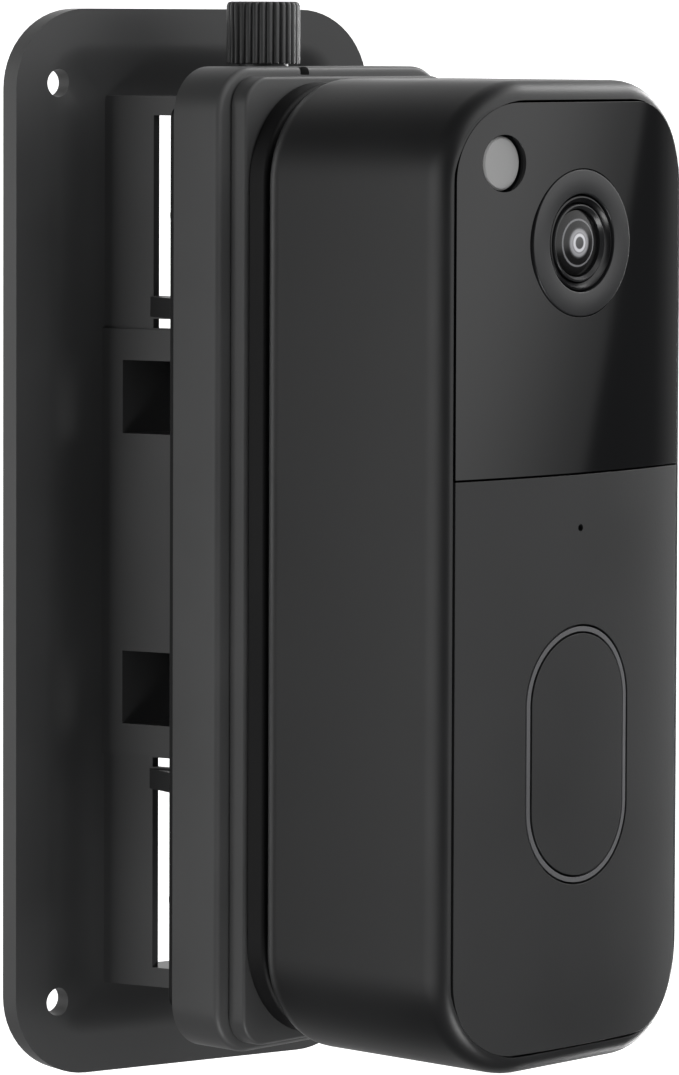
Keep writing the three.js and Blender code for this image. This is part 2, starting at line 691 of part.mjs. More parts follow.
function releaseLatch() {
  const left = LATCH.across - LATCH.width / 2;
  const right = LATCH.across + LATCH.width / 2;
  const noseLow = (latchLow + LATCH.top - LATCH.noseHeight) / 2;
  const slider = block(left, right, latchLow, LATCH.top, latchBack, latchFront);
  const nose = block(left + 1, right - 1, noseLow, noseLow + LATCH.noseHeight, latchFront - 0.5, noseFront);
  return join(slider, nose);
}

function latchSpring() {
  const steps = SPRING.turns * 8;
  const centre = (latchBack + latchFront) / 2;
  const points = [];
  for (let i = 0; i <= steps; i++) {
    const angle = (2 * Math.PI * SPRING.turns * i) / steps;
    const up = springLow + SPRING.wire + ((SPRING.length - 2 * SPRING.wire) * i) / steps;
    const across = LATCH.across + SPRING.radius * Math.cos(angle);
    points.push(new THREE.Vector3(across, up, centre + SPRING.radius * Math.sin(angle)));
  }
  const geometry = new THREE.ExtrudeGeometry(new THREE.Shape(circle(SPRING.wire, 5)), {
    steps,
    bevelEnabled: false,
    extrudePath: new THREE.CatmullRomCurve3(points),
  });
  return solid(geometry);
}

add(headGroup, "bell_bracket", bellBracket(), innerBlack);
for (const [place, side] of [["upper", 1], ["lower", -1]]) {
  const body = screw(BRACKET_SCREW, 0, side * BRACKET_SCREW.up, bracketSeat);
  add(headGroup, `bracket_screw_${place}`, body, steel);
}
add(headGroup, "release_latch", releaseLatch(), steel);
add(headGroup, "latch_spring", latchSpring(), steel);

// ---------------------------------------------------------------- doorbell casing

function rearShell() {
  const section = (insetSide, insetEnd, at) => {
    const radius = BELL.corner - (insetSide + insetEnd) / 2;
    return { outline: roundedRect(BELL.halfWidth - insetSide, BELL.halfHeight - insetEnd, radius), at };
  };
  const sections = [];
  const backSteps = 4;
  for (let i = 0; i <= backSteps; i++) {
    const angle = ((Math.PI / 2) * i) / backSteps;
    const inset = BACK_ROUND * (1 - Math.sin(angle));
    sections.push(section(inset, inset, BELL_BACK + BACK_ROUND * (1 - Math.cos(angle))));
  }
  const frontSteps = 5;
  const lip = BELL.front - CROWN_RISE - 0.1;
  for (let i = 0; i <= frontSteps; i++) {
    const angle = ((Math.PI / 2) * i) / frontSteps;
    const share = 1 - Math.cos(angle);
    const at = lip - FRONT_ROUND.depth * (1 - Math.sin(angle));
    sections.push(section(FRONT_ROUND.side * share, FRONT_ROUND.end * share, at));
  }
  const cavity = plate(
    roundedRect(cavityHalfWidth, cavityHalfHeight, SHELL_CORNER_IN),
    cavityBack,
    BELL.front + OVERCUT,
  );
  const recess = plate(
    roundedRect(
      BACK_COVER.halfWidth + GAP,
      BACK_COVER.halfHeight + GAP,
      BACK_COVER.corner + GAP,
    ),
    BELL_BACK - OVERCUT,
    backCoverFront + GAP,
  );
  const opening = plate(
    roundedRect(BACK_OPENING.halfWidth, BACK_OPENING.halfHeight, BACK_OPENING.corner),
    BELL_BACK,
    cavityBack + OVERCUT,
  );
  const screwHoles = fourCorners(CASE_SCREW.across, CASE_SCREW.up).map(([, x, y]) =>
    drum(CASE_SCREW.radius + SCREW_PLAY, BELL_BACK, cavityBack + OVERCUT, x, y, SMALL_STEPS),
  );
  const portHole = block(
    -PORT.halfWidth - GAP,
    PORT.halfWidth + GAP,
    PORT.up - PORT.height / 2 - GAP,
    PORT.up + PORT.height / 2 + GAP,
    BELL_BACK,
    cavityBack + OVERCUT,
  );
  const soundSlots = [];
  for (let i = 0; i < SOUND_SLOT.count; i++) {
    const x = (i - (SOUND_SLOT.count - 1) / 2) * SOUND_SLOT.pitch;
    const half = SOUND_SLOT.width / 2;
    const low = -BELL.halfHeight - OVERCUT;
    soundSlots.push(block(x - half, x + half, low, -cavityHalfHeight + OVERCUT, SOUND_SLOT.low, SOUND_SLOT.high));
  }
  return cut(loft(sections), cavity, recess, opening, ...screwHoles, portHole, ...soundSlots);
}

const caseSeat = backCoverBack + CASE_SCREW.headHeight + GAP;
const terminalSeat = backCoverBack + TERMINAL.headHeight + GAP;
const portPlugBack = backCoverBack + GAP;

function backCover() {
  const slab = plate(
    roundedRect(BACK_COVER.halfWidth, BACK_COVER.halfHeight, BACK_COVER.corner),
    backCoverBack,
    backCoverFront,
  );
  const sunkHoles = (places, size, seat) =>
    places.flatMap(([, x, y]) => [
      drum(size.radius + SCREW_PLAY, backCoverBack, backCoverFront + OVERCUT, x, y, SMALL_STEPS),
      drum(size.headRadius + SCREW_PLAY, backCoverBack - OVERCUT, seat + GAP, x, y, 16),
    ]);
  const tabPockets = guideTabs.map(([x, y]) =>
    guideTab(x, y, SLIDE_PLAY, backCoverBack - OVERCUT, bracketFront + GUIDE_TAB.reach + SLIDE_PLAY),
  );
  const noseLow = (latchLow + LATCH.top - LATCH.noseHeight) / 2;
  const latchPocket = block(
    LATCH.across - LATCH.width / 2 + 1 - SLIDE_PLAY,
    LATCH.across + LATCH.width / 2 - 1 + SLIDE_PLAY,
    noseLow - LATCH_TRAVEL - SLIDE_PLAY,
    noseLow + LATCH.noseHeight + SLIDE_PLAY,
    backCoverBack - OVERCUT,
    noseFront + SLIDE_PLAY,
  );
  const mouth = block(
    -PORT_MOUTH.halfWidth - GAP,
    PORT_MOUTH.halfWidth + GAP,
    PORT.up - PORT_MOUTH.height / 2 - GAP,
    PORT.up + PORT_MOUTH.height / 2 + GAP,
    backCoverBack - OVERCUT,
    backCoverFront + OVERCUT,
  );
  const terminals = terminalPlaces();
  return cut(
    slab,
    ...sunkHoles(fourCorners(CASE_SCREW.across, CASE_SCREW.up), CASE_SCREW, caseSeat),
    ...sunkHoles(terminals, TERMINAL, terminalSeat),
    ...tabPockets,
    latchPocket,
    mouth,
  );
}

function terminalPlaces() {
  return [
    ["left", -TERMINAL.across, TERMINAL.up],
    ["right", TERMINAL.across, TERMINAL.up],
  ];
}

function chargePort() {
  const low = PORT.up - PORT.height / 2;
  const back = backCoverFront + GAP;
  const shell = block(-PORT.halfWidth, PORT.halfWidth, low, low + PORT.height, back, back + PORT.depth);
  const socket = block(
    -PORT.halfWidth + 0.5,
    PORT.halfWidth - 0.5,
    low + 0.5,
    low + PORT.height - 0.5,
    back - OVERCUT,
    back + PORT.depth - 1,
  );
  return cut(shell, socket);
}

function portPlug() {
  return block(
    -PORT_MOUTH.halfWidth,
    PORT_MOUTH.halfWidth,
    PORT.up - PORT_MOUTH.height / 2,
    PORT.up + PORT_MOUTH.height / 2,
    portPlugBack,
    backCoverFront,
  );
}

add(headGroup, "rear_shell", rearShell(), satinBlack);
add(headGroup, "rear_cover", backCover(), innerBlack);
for (const [place, x, y] of fourCorners(CASE_SCREW.across, CASE_SCREW.up)) {
  add(headGroup, `case_screw_${place}`, screw(CASE_SCREW, x, y, caseSeat, -1), steel);
}
for (const [place, x, y] of terminalPlaces()) {
  add(headGroup, `wire_terminal_${place}`, screw(TERMINAL, x, y, terminalSeat, -1), brass);
}
add(headGroup, "charge_port", chargePort(), steel);
add(headGroup, "charge_port_plug", portPlug(), rubber);

// ---------------------------------------------------------------- battery

function batteryHolder() {
  const low = CELL.low - HOLDER.endPlay - HOLDER.endWall;
  const high = CELL.low + CELL.length + HOLDER.endPlay + HOLDER.endWall;
  const tub = block(-HOLDER.halfWidth, HOLDER.halfWidth, low, high, cavityBack + GAP, HOLDER.front);
  const pockets = [-1, 1].map((side) =>
    rod(
      CELL.radius + HOLDER.play,
      low + HOLDER.endWall,
      high - HOLDER.endWall,
      side * CELL.across,
      CELL.forward,
    ),
  );
  return cut(tub, ...pockets);
}

function batteryCell(side) {
  const high = CELL.low + CELL.length;
  const can = rod(CELL.radius, CELL.low, high, side * CELL.across, CELL.forward);
  return join(can, rod(CELL.radius / 3, high - OVERCUT, high + 0.8, side * CELL.across, CELL.forward, SMALL_STEPS));
}

add(headGroup, "battery_holder", batteryHolder(), innerBlack);
add(headGroup, "battery_cell_left", batteryCell(-1), cellBlue);
add(headGroup, "battery_cell_right", batteryCell(1), cellBlue);

// ---------------------------------------------------------------- chassis, board and what is on it

function midFrame() {
  const inset = MID_FRAME.inset;
  const outline = roundedRect(coverHalfWidth - inset, coverHalfHeight - inset, coverCorner - inset);
  const sheet = plate(outline, MID_FRAME.back, MID_FRAME.back + MID_FRAME.thickness);
  const wireWindow = plate(roundedRect(8, 4, 2, 2), MID_FRAME.back - OVERCUT, boardBack, 0, SEAM_UP);
  return cut(sheet, wireWindow);
}

function mainBoard() {
  const halfHeight = (BOARD.high - BOARD.low) / 2;
  const outline = roundedRect(BOARD.halfWidth, halfHeight, BOARD.corner, 3);
  const sheet = plate(outline, boardBack, boardFront, 0, (BOARD.high + BOARD.low) / 2);
  return cut(sheet, drum(BOARD_EYE, boardBack - OVERCUT, boardFront + OVERCUT, 0, LENS.up));
}

function box(width, height, back, front, across, up) {
  return block(across - width / 2, across + width / 2, up - height / 2, up + height / 2, back, front);
}

function speaker() {
  const back = MID_FRAME.back + MID_FRAME.thickness + GAP;
  const front = back + SPEAKER.depth;
  return turned(
    [
      [0, back],
      [SPEAKER.radius * 0.7, back],
      [SPEAKER.radius, back + SPEAKER.depth / 2],
      [SPEAKER.radius, front],
      [SPEAKER.coneRadius, front],
      [SPEAKER.coneRadius * 0.35, front - SPEAKER.coneDepth],
      [0, front - SPEAKER.coneDepth * 0.6],
    ],
    0,
    SPEAKER.up,
  );
}

const switchFront = onBoard + SWITCH.height;
const plungerFront = switchFront + SWITCH.plungerReach;
const plungerBack = onBoard + BUTTON_TRAVEL + 2 * GAP;

function tactSwitch() {
  const body = box(SWITCH.side, SWITCH.side, onBoard, switchFront, 0, BUTTON.up);
  const bore = drum(
    SWITCH.plungerRadius + SCREW_PLAY,
    plungerBack - BUTTON_TRAVEL - GAP,
    switchFront + OVERCUT,
    0,
    BUTTON.up,
    SMALL_STEPS,
  );
  return cut(body, bore);
}

const plunger = drum(SWITCH.plungerRadius, plungerBack, plungerFront, 0, BUTTON.up, SMALL_STEPS);
const microphone = box(MIC.width, MIC.height, onBoard, onBoard + MIC.depth, 0, MIC_HOLE.up);
const radio = box(RADIO.side, RADIO.side, onBoard, onBoard + RADIO.depth, RADIO.across, RADIO.up);
add(headGroup, "mid_frame", midFrame(), innerBlack);
add(headGroup, "main_board", mainBoard(), circuitGreen);
add(headGroup, "radio_module", radio, steel);
add(headGroup, "microphone", microphone, steel);
add(headGroup, "speaker", speaker(), innerBlack);
add(headGroup, "tact_switch", tactSwitch(), innerBlack);
add(headGroup, "switch_plunger", plunger, sensorWhite);

// ---------------------------------------------------------------- front covers

// Forward position of the bowed face at a distance across.
function face(across) {
  return BELL.front - CROWN_RISE * (across / coverHalfWidth) ** 2;
}

// Everything behind the bowed face, sunk below it where asked.
function behindFace(back, low, high, sunk = 0) {
  const reach = coverHalfWidth + OVERCUT;
  const points = [new THREE.Vector2(-reach, back), new THREE.Vector2(reach, back)];
  for (let i = 0; i <= CROWN_STEPS; i++) {
    const across = reach - (2 * reach * i) / CROWN_STEPS;
    points.push(new THREE.Vector2(across, face(across) - sunk));
  }
  return column(points, low, high);
}

function coverOutline(inset = 0) {
  return roundedRect(coverHalfWidth - inset, coverHalfHeight - inset, coverCorner - inset);
}

const ringPlay = GAP;
const ringInner = BUTTON.radius + ringPlay;
const ringOuter = ringInner + LIGHT_RING.width;

function frontCover() {
  const high = SEAM_UP - GAP / 2;
  const whole = plate(coverOutline(), COVER_BACK, BELL.front + OVERCUT);
  const shaped = whole.intersect(behindFace(COVER_BACK - OVERCUT, -BELL.halfHeight, high));
  const inset = COVER_INSIDE.inset;
  const hollow = plate(coverOutline(inset), COVER_BACK - OVERCUT, COVER_INSIDE.front).intersect(
    block(-BELL.halfWidth, BELL.halfWidth, -BELL.halfHeight, high - inset, 0, BELL.front),
  );
  const buttonHole = plate(
    pill(ringOuter + ringPlay, BUTTON.straight),
    COVER_BACK,
    BELL.front + OVERCUT,
    0,
    BUTTON.up,
  );
  const micHole = drum(MIC_HOLE.radius, COVER_BACK, BELL.front + OVERCUT, 0, MIC_HOLE.up, 8);
  return cut(shaped, hollow, buttonHole, micHole);
}

function frontHoles(back, front, irToo) {
  const holes = [
    drum(LENS.bezel + GAP, back - OVERCUT, front + OVERCUT, 0, LENS.up),
    drum(PIR.hole, back - OVERCUT, front + OVERCUT, PIR.across, PIR.up),
  ];
  if (irToo) {
    for (const side of [-1, 1]) {
      holes.push(
        drum(IR_LED.radius + GAP, back - OVERCUT, front + OVERCUT, side * IR_LED.across, IR_LED.up, SMALL_STEPS),
      );
    }
  }
  return holes;
}

function glassPanel() {
  const whole = plate(coverOutline(), GLASS_BACK, BELL.front + OVERCUT);
  const shaped = whole.intersect(behindFace(GLASS_BACK - OVERCUT, SEAM_UP + GAP / 2, BELL.halfHeight));
  return cut(shaped, ...frontHoles(GLASS_BACK, BELL.front, false));
}

function glassCarrier() {
  const front = GLASS_BACK - GAP;
  const low = SEAM_UP + GAP / 2;
  const whole = plate(coverOutline(), COVER_BACK, front);
  const upper = whole.intersect(
    block(-BELL.halfWidth, BELL.halfWidth, low, BELL.halfHeight, COVER_BACK - OVERCUT, front + OVERCUT),
  );
  return cut(upper, ...frontHoles(COVER_BACK, front, true));
}

function frontGasket() {
  const front = COVER_BACK - GAP;
  const back = front - GASKET.thickness;
  return cut(
    plate(coverOutline(), back, front),
    plate(coverOutline(GASKET.width), back - OVERCUT, front + OVERCUT),
  );
}

add(headGroup, "front_gasket", frontGasket(), rubber);
add(headGroup, "front_cover", frontCover(), satinBlack);
add(headGroup, "glass_carrier", glassCarrier(), innerBlack);
add(headGroup, "glass_panel", glassPanel(), glassBlack);

// ---------------------------------------------------------------- button

function buttonCap() {
  const top = BUTTON.up + BUTTON.straight / 2 + BUTTON.radius;
  const bottom = BUTTON.up - BUTTON.straight / 2 - BUTTON.radius;
  const cap = plate(pill(BUTTON.radius, BUTTON.straight), BUTTON.back, BELL.front + OVERCUT, 0, BUTTON.up);
  const shaped = cap.intersect(behindFace(BUTTON.back - OVERCUT, bottom - OVERCUT, top + OVERCUT));
  const stem = drum(BUTTON.stemRadius, plungerFront + GAP, BUTTON.back + OVERCUT, 0, BUTTON.up, SMALL_STEPS);
  return join(shaped, stem);
}

function buttonLightRing() {
  const whole = plate(pill(ringOuter, BUTTON.straight), LIGHT_RING.back, BELL.front + OVERCUT, 0, BUTTON.up);
  const inner = plate(pill(ringInner, BUTTON.straight), COVER_BACK, BELL.front + 2 * OVERCUT, 0, BUTTON.up);
  const shaped = whole.intersect(
    behindFace(LIGHT_RING.back - OVERCUT, -BELL.halfHeight, SEAM_UP, LIGHT_RING.sunk),
  );
  return cut(shaped, inner);
}

add(headGroup, "button_cap", buttonCap(), satinBlack);
add(headGroup, "button_light_ring", buttonLightRing(), lightRing);

// ---------------------------------------------------------------- camera and sensors

function lensBezel() {
  const front = BELL.front;
  return turned(
    [
      [LENS.bezelIn, LENS.bezelBack],
      [LENS.bezel, LENS.bezelBack],
      [LENS.bezel, front - LENS.edge],
      [LENS.bezel - LENS.edge, front],
      [LENS.bezelIn + LENS.edge, front],
      [LENS.bezelIn, front - LENS.edge],
      [LENS.bezelIn, LENS.bezelBack],
    ],
    0,
    LENS.up,
  );
}

function lensShade() {
  const outer = LENS.bezelIn - GAP;
  const inner = RETAINER.radius + GAP;
  const front = BELL.front - SHADE.sunk;
  return turned(
    [
      [inner, SHADE.back],
      [outer, SHADE.back],
      [outer, front],
      [outer - SHADE.lip, front - SHADE.step],
      [inner, front - SHADE.dish],
      [inner, SHADE.back],
    ],
    0,
    LENS.up,
  );
}

function lensRetainer() {
  const { radius, inner, front, edge, innerEdge, back } = RETAINER;
  return turned(
    [
      [inner, back],
      [radius, back],
      [radius, front - edge],
      [radius - edge, front],
      [inner, front - innerEdge],
      [inner, back],
    ],
    0,
    LENS.up,
  );
}

function lensGlass() {
  const { radius, front, edge, back } = LENS_GLASS;
  const steps = 5;
  const profile = [
    [0, back],
    [radius, back],
  ];
  for (let i = 0; i <= steps; i++) {
    const share = i / steps;
    profile.push([radius * (1 - share), edge + (front - edge) * (1 - (1 - share) ** 2)]);
  }
  return turned(profile, 0, LENS.up);
}

function lensBarrel() {
  return ring(BARREL.radius, BARREL.bore, BARREL.back, BARREL.front, 0, LENS.up);
}

const sensorFront = BARREL.back - GAP;
const sensorBoard = box(
  SENSOR_BOARD.side,
  SENSOR_BOARD.side,
  sensorFront - SENSOR_BOARD.thickness,
  sensorFront,
  0,
  LENS.up,
);
const pirWindow = drum(PIR.disc, PIR.front - PIR.thickness, PIR.front, PIR.across, PIR.up);
const pirCan = drum(PIR_CAN.radius, onBoard, PIR_CAN.front, PIR.across, PIR.up);
add(headGroup, "lens_bezel", lensBezel(), lensBlack);
add(headGroup, "lens_shade", lensShade(), lensBlack);
add(headGroup, "lens_retainer", lensRetainer(), lensBlack);
add(headGroup, "lens_front_glass", lensGlass(), clearGlass);
add(headGroup, "lens_barrel", lensBarrel(), innerBlack);
add(headGroup, "camera_sensor_board", sensorBoard, circuitGreen);
add(headGroup, "motion_sensor_window", pirWindow, sensorWhite);
add(headGroup, "motion_sensor", pirCan, steel);
for (const [place, side] of [["left", -1], ["right", 1]]) {
  const led = drum(IR_LED.radius, onBoard, onBoard + IR_LED.length, side * IR_LED.across, IR_LED.up, SMALL_STEPS);
  add(headGroup, `infrared_led_${place}`, led, clearGlass);
}

export default doorbell;
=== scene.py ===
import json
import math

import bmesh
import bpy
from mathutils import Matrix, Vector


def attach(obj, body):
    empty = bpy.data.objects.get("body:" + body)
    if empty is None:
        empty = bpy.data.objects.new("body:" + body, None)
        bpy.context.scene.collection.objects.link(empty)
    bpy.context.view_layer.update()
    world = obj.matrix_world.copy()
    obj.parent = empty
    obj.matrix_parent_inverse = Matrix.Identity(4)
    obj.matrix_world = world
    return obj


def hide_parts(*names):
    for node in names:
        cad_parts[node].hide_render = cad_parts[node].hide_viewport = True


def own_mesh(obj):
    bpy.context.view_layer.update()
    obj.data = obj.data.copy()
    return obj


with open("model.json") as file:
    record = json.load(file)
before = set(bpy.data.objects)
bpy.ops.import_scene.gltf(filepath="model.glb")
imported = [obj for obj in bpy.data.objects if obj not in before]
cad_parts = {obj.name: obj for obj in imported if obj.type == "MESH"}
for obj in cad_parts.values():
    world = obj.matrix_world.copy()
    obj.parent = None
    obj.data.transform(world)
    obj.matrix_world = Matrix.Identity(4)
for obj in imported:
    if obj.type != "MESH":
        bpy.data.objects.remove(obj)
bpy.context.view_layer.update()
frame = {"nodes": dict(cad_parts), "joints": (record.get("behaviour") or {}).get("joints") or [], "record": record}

# A battery video doorbell on an adjustable wall mount.
# The frame's CAD model says where everything is. This script builds finer pieces over the nodes that show,
# gives every piece its material, and sets the light and the camera.
#
# Pieces are drawn face on in millimetres, as (across, up, forward): across is to the right as seen from the
# front and forward points away from the wall. A place matrix then puts them in the row frame, in metres.

# ---------------------------------------------------------------- places, from the frame

MM = 0.001
joints = {joint["name"]: joint for joint in frame["joints"]}
pull = Vector(joints["doorbell_pull"]["axis"])
hinge = Vector(joints["head_swivel"]["pos_m"])
upright = Matrix(((1, 0, 0, 0), (0, 0, -1, 0), (0, 1, 0, 0), (0, 0, 0, 1)))
WALL = upright @ Matrix.Scale(MM, 4)
HEAD = Matrix.Translation(hinge) @ Matrix.Rotation(math.atan2(pull.x, -pull.y), 4, "Z") @ WALL


def extent(node, place):
    """A CAD node's lowest and highest (across, up, forward), in millimetres."""
    inverse = place.inverted()
    points = [inverse @ vertex.co for vertex in frame["nodes"][node].data.vertices]
    low = Vector(min(p[i] for p in points) for i in range(3))
    high = Vector(max(p[i] for p in points) for i in range(3))
    return low, high


def middle(box):
    return (box[0] + box[1]) / 2


# ---------------------------------------------------------------- outlines

CORNER_STEPS = 14
ROUND_STEPS = 96


def arc(cx, cy, radius, start, sweep, steps):
    """Points on a round stretch, angles in degrees, both ends included."""
    angles = [math.radians(start + sweep * i / steps) for i in range(steps + 1)]
    return [(cx + radius * math.cos(a), cy + radius * math.sin(a)) for a in angles]


def rounded(half_width, half_height, radius, steps=CORNER_STEPS):
    x, y = half_width - radius, half_height - radius
    return (
        arc(x, y, radius, 0, 90, steps)
        + arc(-x, y, radius, 90, 90, steps)
        + arc(-x, -y, radius, 180, 90, steps)
        + arc(x, -y, radius, 270, 90, steps)
    )


def circle(radius, steps=ROUND_STEPS):
    return arc(0, 0, radius, 0, 360, steps)[:-1]


def pill(radius, straight, steps=36):
    return arc(0, straight / 2, radius, 0, 180, steps) + arc(0, -straight / 2, radius, 180, 180, steps)


def mirrored(left):
    """A left-hand run of points with its mirror image, as one closed outline."""
    return left + [(-x, y) for x, y in reversed(left)]


def at_depth(outline, forward):
    return [(x, y, forward) for x, y in outline]


# ---------------------------------------------------------------- solids

def solid(points, faces):
    """A closed mesh object in the drawing's own millimetres, facing outwards."""
    mesh = bpy.data.meshes.new("draft")
    mesh.from_pydata(points, [], faces)
    draft = bmesh.new()
    draft.from_mesh(mesh)
    bmesh.ops.remove_doubles(draft, verts=draft.verts, dist=1e-5)
    bmesh.ops.recalc_face_normals(draft, faces=draft.faces)
    draft.to_mesh(mesh)
    draft.free()
    made = bpy.data.objects.new("draft", mesh)
    bpy.context.scene.collection.objects.link(made)
    return made


def skin(sections, loop=False):
    """Sections with the same number of points, joined by bands. loop joins the last to the first."""
    count = len(sections[0])
    points = [p for section in sections for p in section]
    bands = len(sections) if loop else len(sections) - 1
    faces = []
    for band in range(bands):
        here, there = band * count, (band + 1) % len(sections) * count
        for i in range(count):
            j = (i + 1) % count
            faces.append((here + i, here + j, there + j, there + i))
    if not loop:
        faces.append(tuple(range(count)))
        faces.append(tuple(range(len(points) - count, len(points))))
    return solid(points, faces)


def plate(outline, back, front, across=0, up=0):
    moved = [(x + across, y + up) for x, y in outline]
    return skin([at_depth(moved, back), at_depth(moved, front)])


def column(outline, low, high):
    """An (across, forward) outline raised from low to high."""
    return skin([[(x, level, y) for x, y in outline] for level in (low, high)])


def block(left, right, low, high, back, front):
    return plate([(left, low), (right, low), (right, high), (left, high)], back, front)


def drum(radius, back, front, across=0, up=0, steps=ROUND_STEPS):
    return plate(circle(radius, steps), back, front, across, up)


def rod(radius, low, high, across=0, forward=0, steps=ROUND_STEPS):
    outline = [(x + across, y + forward) for x, y in circle(radius, steps)]
    return column(outline, low, high)


def turned(profile, across=0, up=0, steps=ROUND_STEPS, upright_axis=False):
    """A (radius, distance) profile turned about a forward axis, or about the upright one."""
    hollow = min(radius for radius, _ in profile) > 0
    sections = []
    for radius, distance in profile:
        ring = circle(max(radius, 1e-3), steps)
        if upright_axis:
            sections.append([(x + across, distance, y + up) for x, y in ring])
        else:
            sections.append([(x + across, y + up, distance) for x, y in ring])
    return skin(sections, loop=hollow)


def combine(body, tools, operation):
    for tool in tools:
        modifier = body.modifiers.new("combine", "BOOLEAN")
        modifier.operation = operation
        modifier.solver = "EXACT"
        modifier.object = tool
    evaluated = body.evaluated_get(bpy.context.evaluated_depsgraph_get())
    mesh = bpy.data.meshes.new_from_object(evaluated)
    body.modifiers.clear()
    body.data = mesh
    for tool in tools:
        bpy.data.objects.remove(tool)
    return body


def cut(body, *tools):
    return combine(body, tools, "DIFFERENCE")


def join(body, *tools):
    return combine(body, tools, "UNION")


def common(body, *tools):
    return combine(body, tools, "INTERSECT")


def piece(name, body, place, rides, nodes, material, ease=0.2, sharp=28):
    """Puts a drawn solid in the row frame as a finished piece, its hard edges eased by ease millimetres."""
    body.name = name
    body.data.name = name
    body.data.transform(place)
    tidy = bmesh.new()
    tidy.from_mesh(body.data)
    bmesh.ops.remove_doubles(tidy, verts=tidy.verts, dist=2e-6)
    bmesh.ops.dissolve_degenerate(tidy, dist=2e-6, edges=tidy.edges)
    bmesh.ops.recalc_face_normals(tidy, faces=tidy.faces)
    tidy.to_mesh(body.data)
    tidy.free()
    body.data.shade_smooth()
    body.data.set_sharp_from_angle(angle=math.radians(sharp))
    if ease:
        bevel = body.modifiers.new("eased_edges", "BEVEL")
        bevel.width = ease * MM
        bevel.segments = 3
        bevel.limit_method = "ANGLE"
        bevel.angle_limit = math.radians(sharp)
        bevel.harden_normals = True
        bevel.use_clamp_overlap = True
    body.data.materials.clear()
    body.data.materials.append(material)
    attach(body, rides)
    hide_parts(*nodes)
    return body


# ---------------------------------------------------------------- materials

def shader(name, base_color, roughness, metallic=0.0, specular=0.5):
    """A material with its principled shader and a node tree to add to."""
    material = bpy.data.materials.new(name)
    material.use_nodes = True
    nodes, links = material.node_tree.nodes, material.node_tree.links
    principled = nodes["Principled BSDF"]
    principled.inputs["Base Color"].default_value = (*base_color, 1)
    principled.inputs["Roughness"].default_value = roughness
    principled.inputs["Metallic"].default_value = metallic
    principled.inputs["Specular IOR Level"].default_value = specular
    return material, nodes, links, principled


def noise(nodes, links, scale, detail=3.0, stretch=(1, 1, 1)):
    """Noise fixed to the piece; scale is in grains per metre."""
    coordinates = nodes.new("ShaderNodeTexCoord")
    mapping = nodes.new("ShaderNodeMapping")
    mapping.inputs["Scale"].default_value = stretch
    texture = nodes.new("ShaderNodeTexNoise")
    texture.inputs["Scale"].default_value = scale
    texture.inputs["Detail"].default_value = detail
    links.new(coordinates.outputs["Object"], mapping.inputs["Vector"])
    links.new(mapping.outputs["Vector"], texture.inputs["Vector"])
    return texture.outputs["Fac"]


def spread(nodes, links, value, low, high):
    """A noise value widened and mapped to a range."""
    mapped = nodes.new("ShaderNodeMapRange")
    mapped.inputs["From Min"].default_value = 0.3
    mapped.inputs["From Max"].default_value = 0.7
    mapped.inputs["To Min"].default_value = low
    mapped.inputs["To Max"].default_value = high
    links.new(value, mapped.inputs["Value"])
    return mapped.outputs["Result"]


def tint(nodes, links, value, dark, light):
    ramp = nodes.new("ShaderNodeValToRGB")
    ramp.color_ramp.elements[0].position = 0.3
    ramp.color_ramp.elements[0].color = (*dark, 1)
    ramp.color_ramp.elements[1].position = 0.7
    ramp.color_ramp.elements[1].color = (*light, 1)
    links.new(value, ramp.inputs["Fac"])
    return ramp.outputs["Color"]


def grain(nodes, links, principled, value, strength, depth):
    bump = nodes.new("ShaderNodeBump")
    bump.inputs["Strength"].default_value = strength
    bump.inputs["Distance"].default_value = depth
    links.new(value, bump.inputs["Height"])
    links.new(bump.outputs["Normal"], principled.inputs["Normal"])


def moulded(name, color, roughness, grains, bump, specular=0.5, metallic=0.0, variation=0.12):
    """Moulded or coated surface: a fine grain, with slow changes of shade and gloss."""
    material, nodes, links, principled = shader(name, color, roughness, metallic, specular)
    slow = noise(nodes, links, 45, 2)
    dark = tuple(c * (1 - variation) for c in color)
    light = tuple(c * (1 + variation) for c in color)
    links.new(tint(nodes, links, slow, dark, light), principled.inputs["Base Color"])
    gloss = spread(nodes, links, slow, roughness - 0.03, roughness + 0.03)
    links.new(gloss, principled.inputs["Roughness"])
    grain(nodes, links, principled, noise(nodes, links, grains, 2), bump, 0.00002)
    return material


def machined(name, color, roughness, stretch):
    """Bare metal with fine drawn lines."""
    material, nodes, links, principled = shader(name, color, roughness, 1.0)
    lines = noise(nodes, links, 900, 4, stretch)
    dark = tuple(c * 0.8 for c in color)
    light = tuple(min(c * 1.15, 1) for c in color)
    links.new(tint(nodes, links, lines, dark, light), principled.inputs["Base Color"])
    gloss = spread(nodes, links, lines, roughness - 0.07, roughness + 0.1)
    links.new(gloss, principled.inputs["Roughness"])
    grain(nodes, links, principled, lines, 0.15, 0.00002)
    return material


def polished(name, color, roughness, coat=0.0, specular=0.5):
    """Smooth glossy surface, with the faint waviness of polished plastic."""
    material, nodes, links, principled = shader(name, color, roughness, 0.0, specular)
    slow = noise(nodes, links, 25, 1)
    light = tuple(c * 1.2 for c in color)
    links.new(tint(nodes, links, slow, color, light), principled.inputs["Base Color"])
    links.new(spread(nodes, links, slow, roughness, roughness + 0.02), principled.inputs["Roughness"])
    principled.inputs["Coat Weight"].default_value = coat
    principled.inputs["Coat Roughness"].default_value = 0.02
    return material


# Painted reflections of the lenses under the lens glass, as rings in its base colour from the lens axis outwards:
# (radius in millimetres, shade).
LENS_REFLECTION_RINGS = (
    (0.0, 0.1), (0.8, 0.1), (0.95, 0.75), (1.25, 0.7), (1.4, 0.25), (1.6, 0.4), (1.9, 0.3), (2.1, 0.05),
    (2.3, 0.012), (3.1, 0.012), (3.2, 0.22), (3.35, 0.22), (3.45, 0.012), (4.6, 0.006),
)


